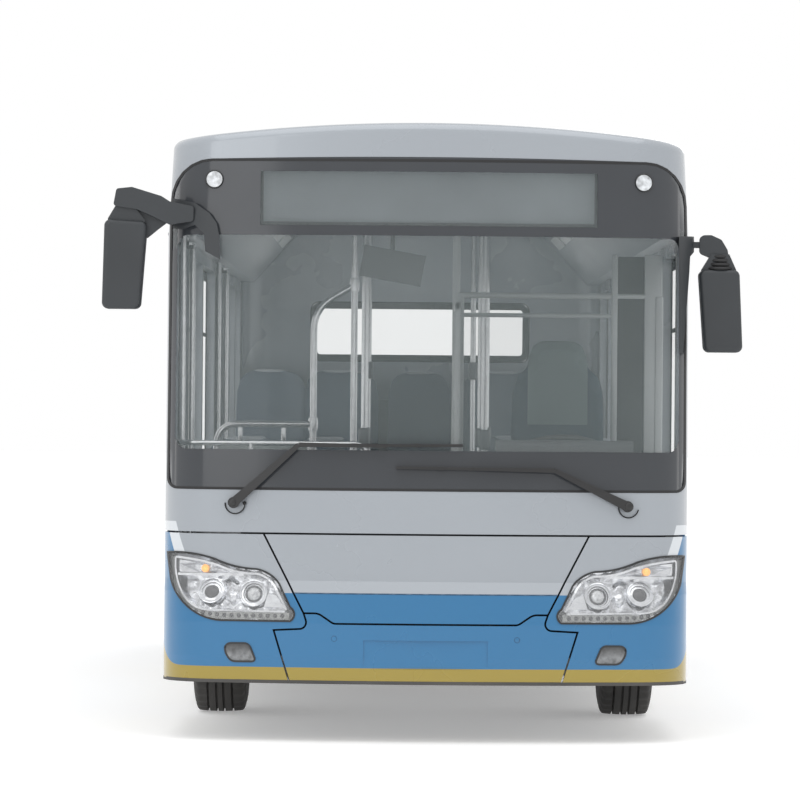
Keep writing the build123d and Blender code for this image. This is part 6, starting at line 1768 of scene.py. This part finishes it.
# Poles, columns: x, y, floor
poles = [
    (-0.33, -0.76, low_floor), (0.33, -1.56, low_floor), (0.33, -0.06, low_floor), (-0.33, 0.06, low_floor),
    (0.39, 1.48, low_floor), (-0.33, 3.05, high_floor), (0.33, 3.05, high_floor),
    (guard_pole_x, guard_y, low_floor),
]
flange_shape = [(0.018, 0.03), (0.0215, 0.028), (0.023, 0.012), (0.042, 0.006), (0.043, 0.0), (0.018, 0.0)]
collar_shape = [(0.0175, -0.035), (0.023, -0.033), (0.025, 0.0), (0.023, 0.033), (0.0175, 0.035)]
bars, flanges, buttons = [], [], []
for x, y, z in poles:
    bars.append(tube([(x, y, z), (x, y, ceiling_z)], pole_radius, 16))
    for end, up in ((z, 1), (ceiling_z, -1)):
        flanges.append(turned(flange_shape, (x, y, end), (0, 0, up), 24, True))
    if y > guard_y:
        buttons.append(block((x - 0.03, y - 0.036, z + 0.95), (x + 0.03, y + 0.03, z + 1.06), 0.012))
# Bars of the guard, columns: bend, then places across and up
guard_bars = [
    (0.12, [(guard_out, guard_foot), (guard_out, guard_z), (guard_in, guard_z)]),
    (0.14, [(guard_in, guard_foot), (guard_in, guard_bend_z), (guard_pole_x, guard_join_z)]),
]
for bend, places in guard_bars:
    bars.append(tube(bent([(x, guard_y, z) for x, z in places], bend, 10), pole_radius, 16))
for x, z in ((guard_in, guard_z), (guard_pole_x, guard_join_z)):
    flanges.append(turned(collar_shape, (x, guard_y, z), (0, 0, 1), 24, True))
for x in (-0.94, -0.72):
    flanges.append(block((x - 0.012, guard_y - 0.012, 1.385), (x + 0.012, guard_y + 0.006, 1.475), 0.005))
for x in (guard_out, guard_in):
    flanges.append(turned(flange_shape, (x, guard_y, guard_foot), (0, 0, 1), 24, True))
ledge_y, ledge_z = -4.9, 1.405
bars.append(tube(bent([(-1.19, -4.66, ledge_z), (-1.15, ledge_y, ledge_z), (-0.29, ledge_y - 0.02, ledge_z),
                       (-0.29, ledge_y - 0.02, 1.19)], 0.06), 0.013, 14))
bars += [tube([(x, ledge_y - 0.015, 1.19), (x, ledge_y - 0.01, ledge_z)], 0.011, 12) for x in (-0.84, -0.56)]
rails = piece("grab_poles", *merged(*bars), bar_steel, "bus_body", slot="rail_steel")
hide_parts("handrails")
piece("rail_flanges", *merged(*flanges), bar_steel, "bus_body", slot="rail_steel")
piece("stop_buttons", *merged(*buttons), button_grey, "bus_body", slot="rail_steel")
guard_panel = block((guard_out + 0.005, guard_y - 0.004, 1.15), (guard_in - 0.005, guard_y + 0.004, 1.4),
                    0.002)
piece("guard_panel", *guard_panel, lining_grey, "bus_body", slot="panel_grey")


def on_lining(side):
    """Places on the inner face of a side wall: along, up, inwards."""
    return lambda y, z, out: (side * (1.2 - out), y, z)


def on_duct(side):
    """Places on the sloping duct over the windows: along, up the slope, inwards."""
    return lambda y, v, out: (side * (1.12 - 0.673 * v - 0.74 * out), y, 2.4 + 0.74 * v - 0.673 * out)


panels, diffusers = [], []
# Runs of lining clear of the doors and wheel boxes, columns: side, start, end
lining_runs = [
    (1, -4.62, -3.435), (1, -2.255, 1.865), (1, 3.045, 4.8),
    (-1, -3.54, -3.435), (-1, -2.255, 0.16), (-1, 1.44, 1.865), (-1, 3.045, 4.8),
]
lining_z, lining_half = 0.79, 0.375
pillar_foot, pillar_head = 1.17, 2.395
sheet_low, sheet_high = 0.0002, 0.0015
for side, y0, y1 in lining_runs:
    run = [(y0, lining_z), (y1, lining_z)]
    panels.append(ribbon(run, lining_half, sheet_low, sheet_high, on_lining(side), closed=False))
for side, first, last, count in window_runs:
    for n in range(count + 1):
        y = first + (last - first) * n / count
        pillar = [(y, pillar_foot), (y, pillar_head)]
        panels.append(ribbon(pillar, 0.04, sheet_low, sheet_high, on_lining(side), closed=False))
lamp_count, lamp_pitch, lamp_long = 6, 1.25, 1.1
first_lamp_y, lamp_up = -2.9, 0.34
for side in (1, -1):
    for n in range(lamp_count):
        y = first_lamp_y + lamp_pitch * n
        lamp_line = [(y, lamp_up), (y + lamp_long, lamp_up)]
        diffusers.append(ribbon(lamp_line, 0.045, -0.001, 0.008, on_duct(side), closed=False))
panels.append(block((-0.95, 5.168, 0.8), (0.95, 5.19, 1.62), 0.004))
piece("wall_lining", *merged(*panels), lining_grey, "bus_body", smooth=False, slot="panel_grey")
piece("ceiling_lamps", *merged(*diffusers), lamp_diffuser, "bus_body", smooth=False, slot="lens")
nosing_yellow = finish("nosing_yellow", (0.5, 0.36, 0.03), 0.6, grain=260, bump=0.3)
nosings = [
    block((-0.33, 1.255, 0.58), (0.33, 1.3, 0.602), 0.003),
    block((-0.57, 1.555, 0.78), (0.57, 1.6, 0.802), 0.003),
    *[block((-1.198, y0, 0.3992), (-1.15, y1, 0.401), 0.0005) for y0, y1 in ((-4.64, -3.57), (0.19, 1.41))],
]
piece("step_nosings", *merged(*nosings), nosing_yellow, "bus_body", slot="floor_sheet")


# Air tanks and pipes
# Welded steel tanks strapped under the low floor between the rails, with brake pipes clipped along the
# rails; all in the chassis paint.
tank_radius = 0.075
tank_bulge = 0.045
tank_z = 0.284
strap_radius = 0.077
strap_head = 0.36
quarter = [0.5 * math.pi * k / 6 for k in range(1, 7)]
under = [math.radians(180 + 180 * k / 16) for k in range(17)]
tanks = []
for x in (-0.25, 0.25):
    for y0, y1 in ((-1.4, -0.65), (-0.4, 0.35)):
        long = (y1 - y0) / 2
        tip = long + tank_bulge
        ends = [(tank_radius * math.sin(t), long + tank_bulge * math.cos(t)) for t in quarter]
        outline = [(0.0005, tip), *ends, *[(r, -a) for r, a in reversed(ends)], (0.0005, -tip)]
        tanks.append(turned(outline, (x, (y0 + y1) / 2, tank_z), (0, 1, 0), 28))
        for y in (y0 + 0.15, y1 - 0.15):
            band = [(x + strap_radius * math.cos(t), y, tank_z + strap_radius * math.sin(t)) for t in under]
            left, right = (x - strap_radius, y, strap_head), (x + strap_radius, y, strap_head)
            tanks.append(tube([left, *band, right], 0.006, 6))
pipe_from, pipe_to = -4.4, 1.5
clip_from, clip_pitch, clip_count = -4.2, 0.68, 9
pipe_runs = []
for x, z in ((-0.448, 0.31), (-0.448, 0.33), (0.448, 0.31), (0.448, 0.33)):
    pipe_runs.append(tube([(x, pipe_from, z), (x, pipe_to, z)], 0.006, 8))
    for n in range(clip_count):
        y = clip_from + clip_pitch * n
        pipe_runs.append(block((x - 0.013, y - 0.008, z - 0.009), (x + 0.013, y + 0.008, z + 0.009), 0.002))
piece("air_tanks", *merged(*tanks), chassis_paint, "bus_body", slot="frame_paint")
piece("brake_pipes", *merged(*pipe_runs), chassis_paint, "bus_body", slot="frame_paint")
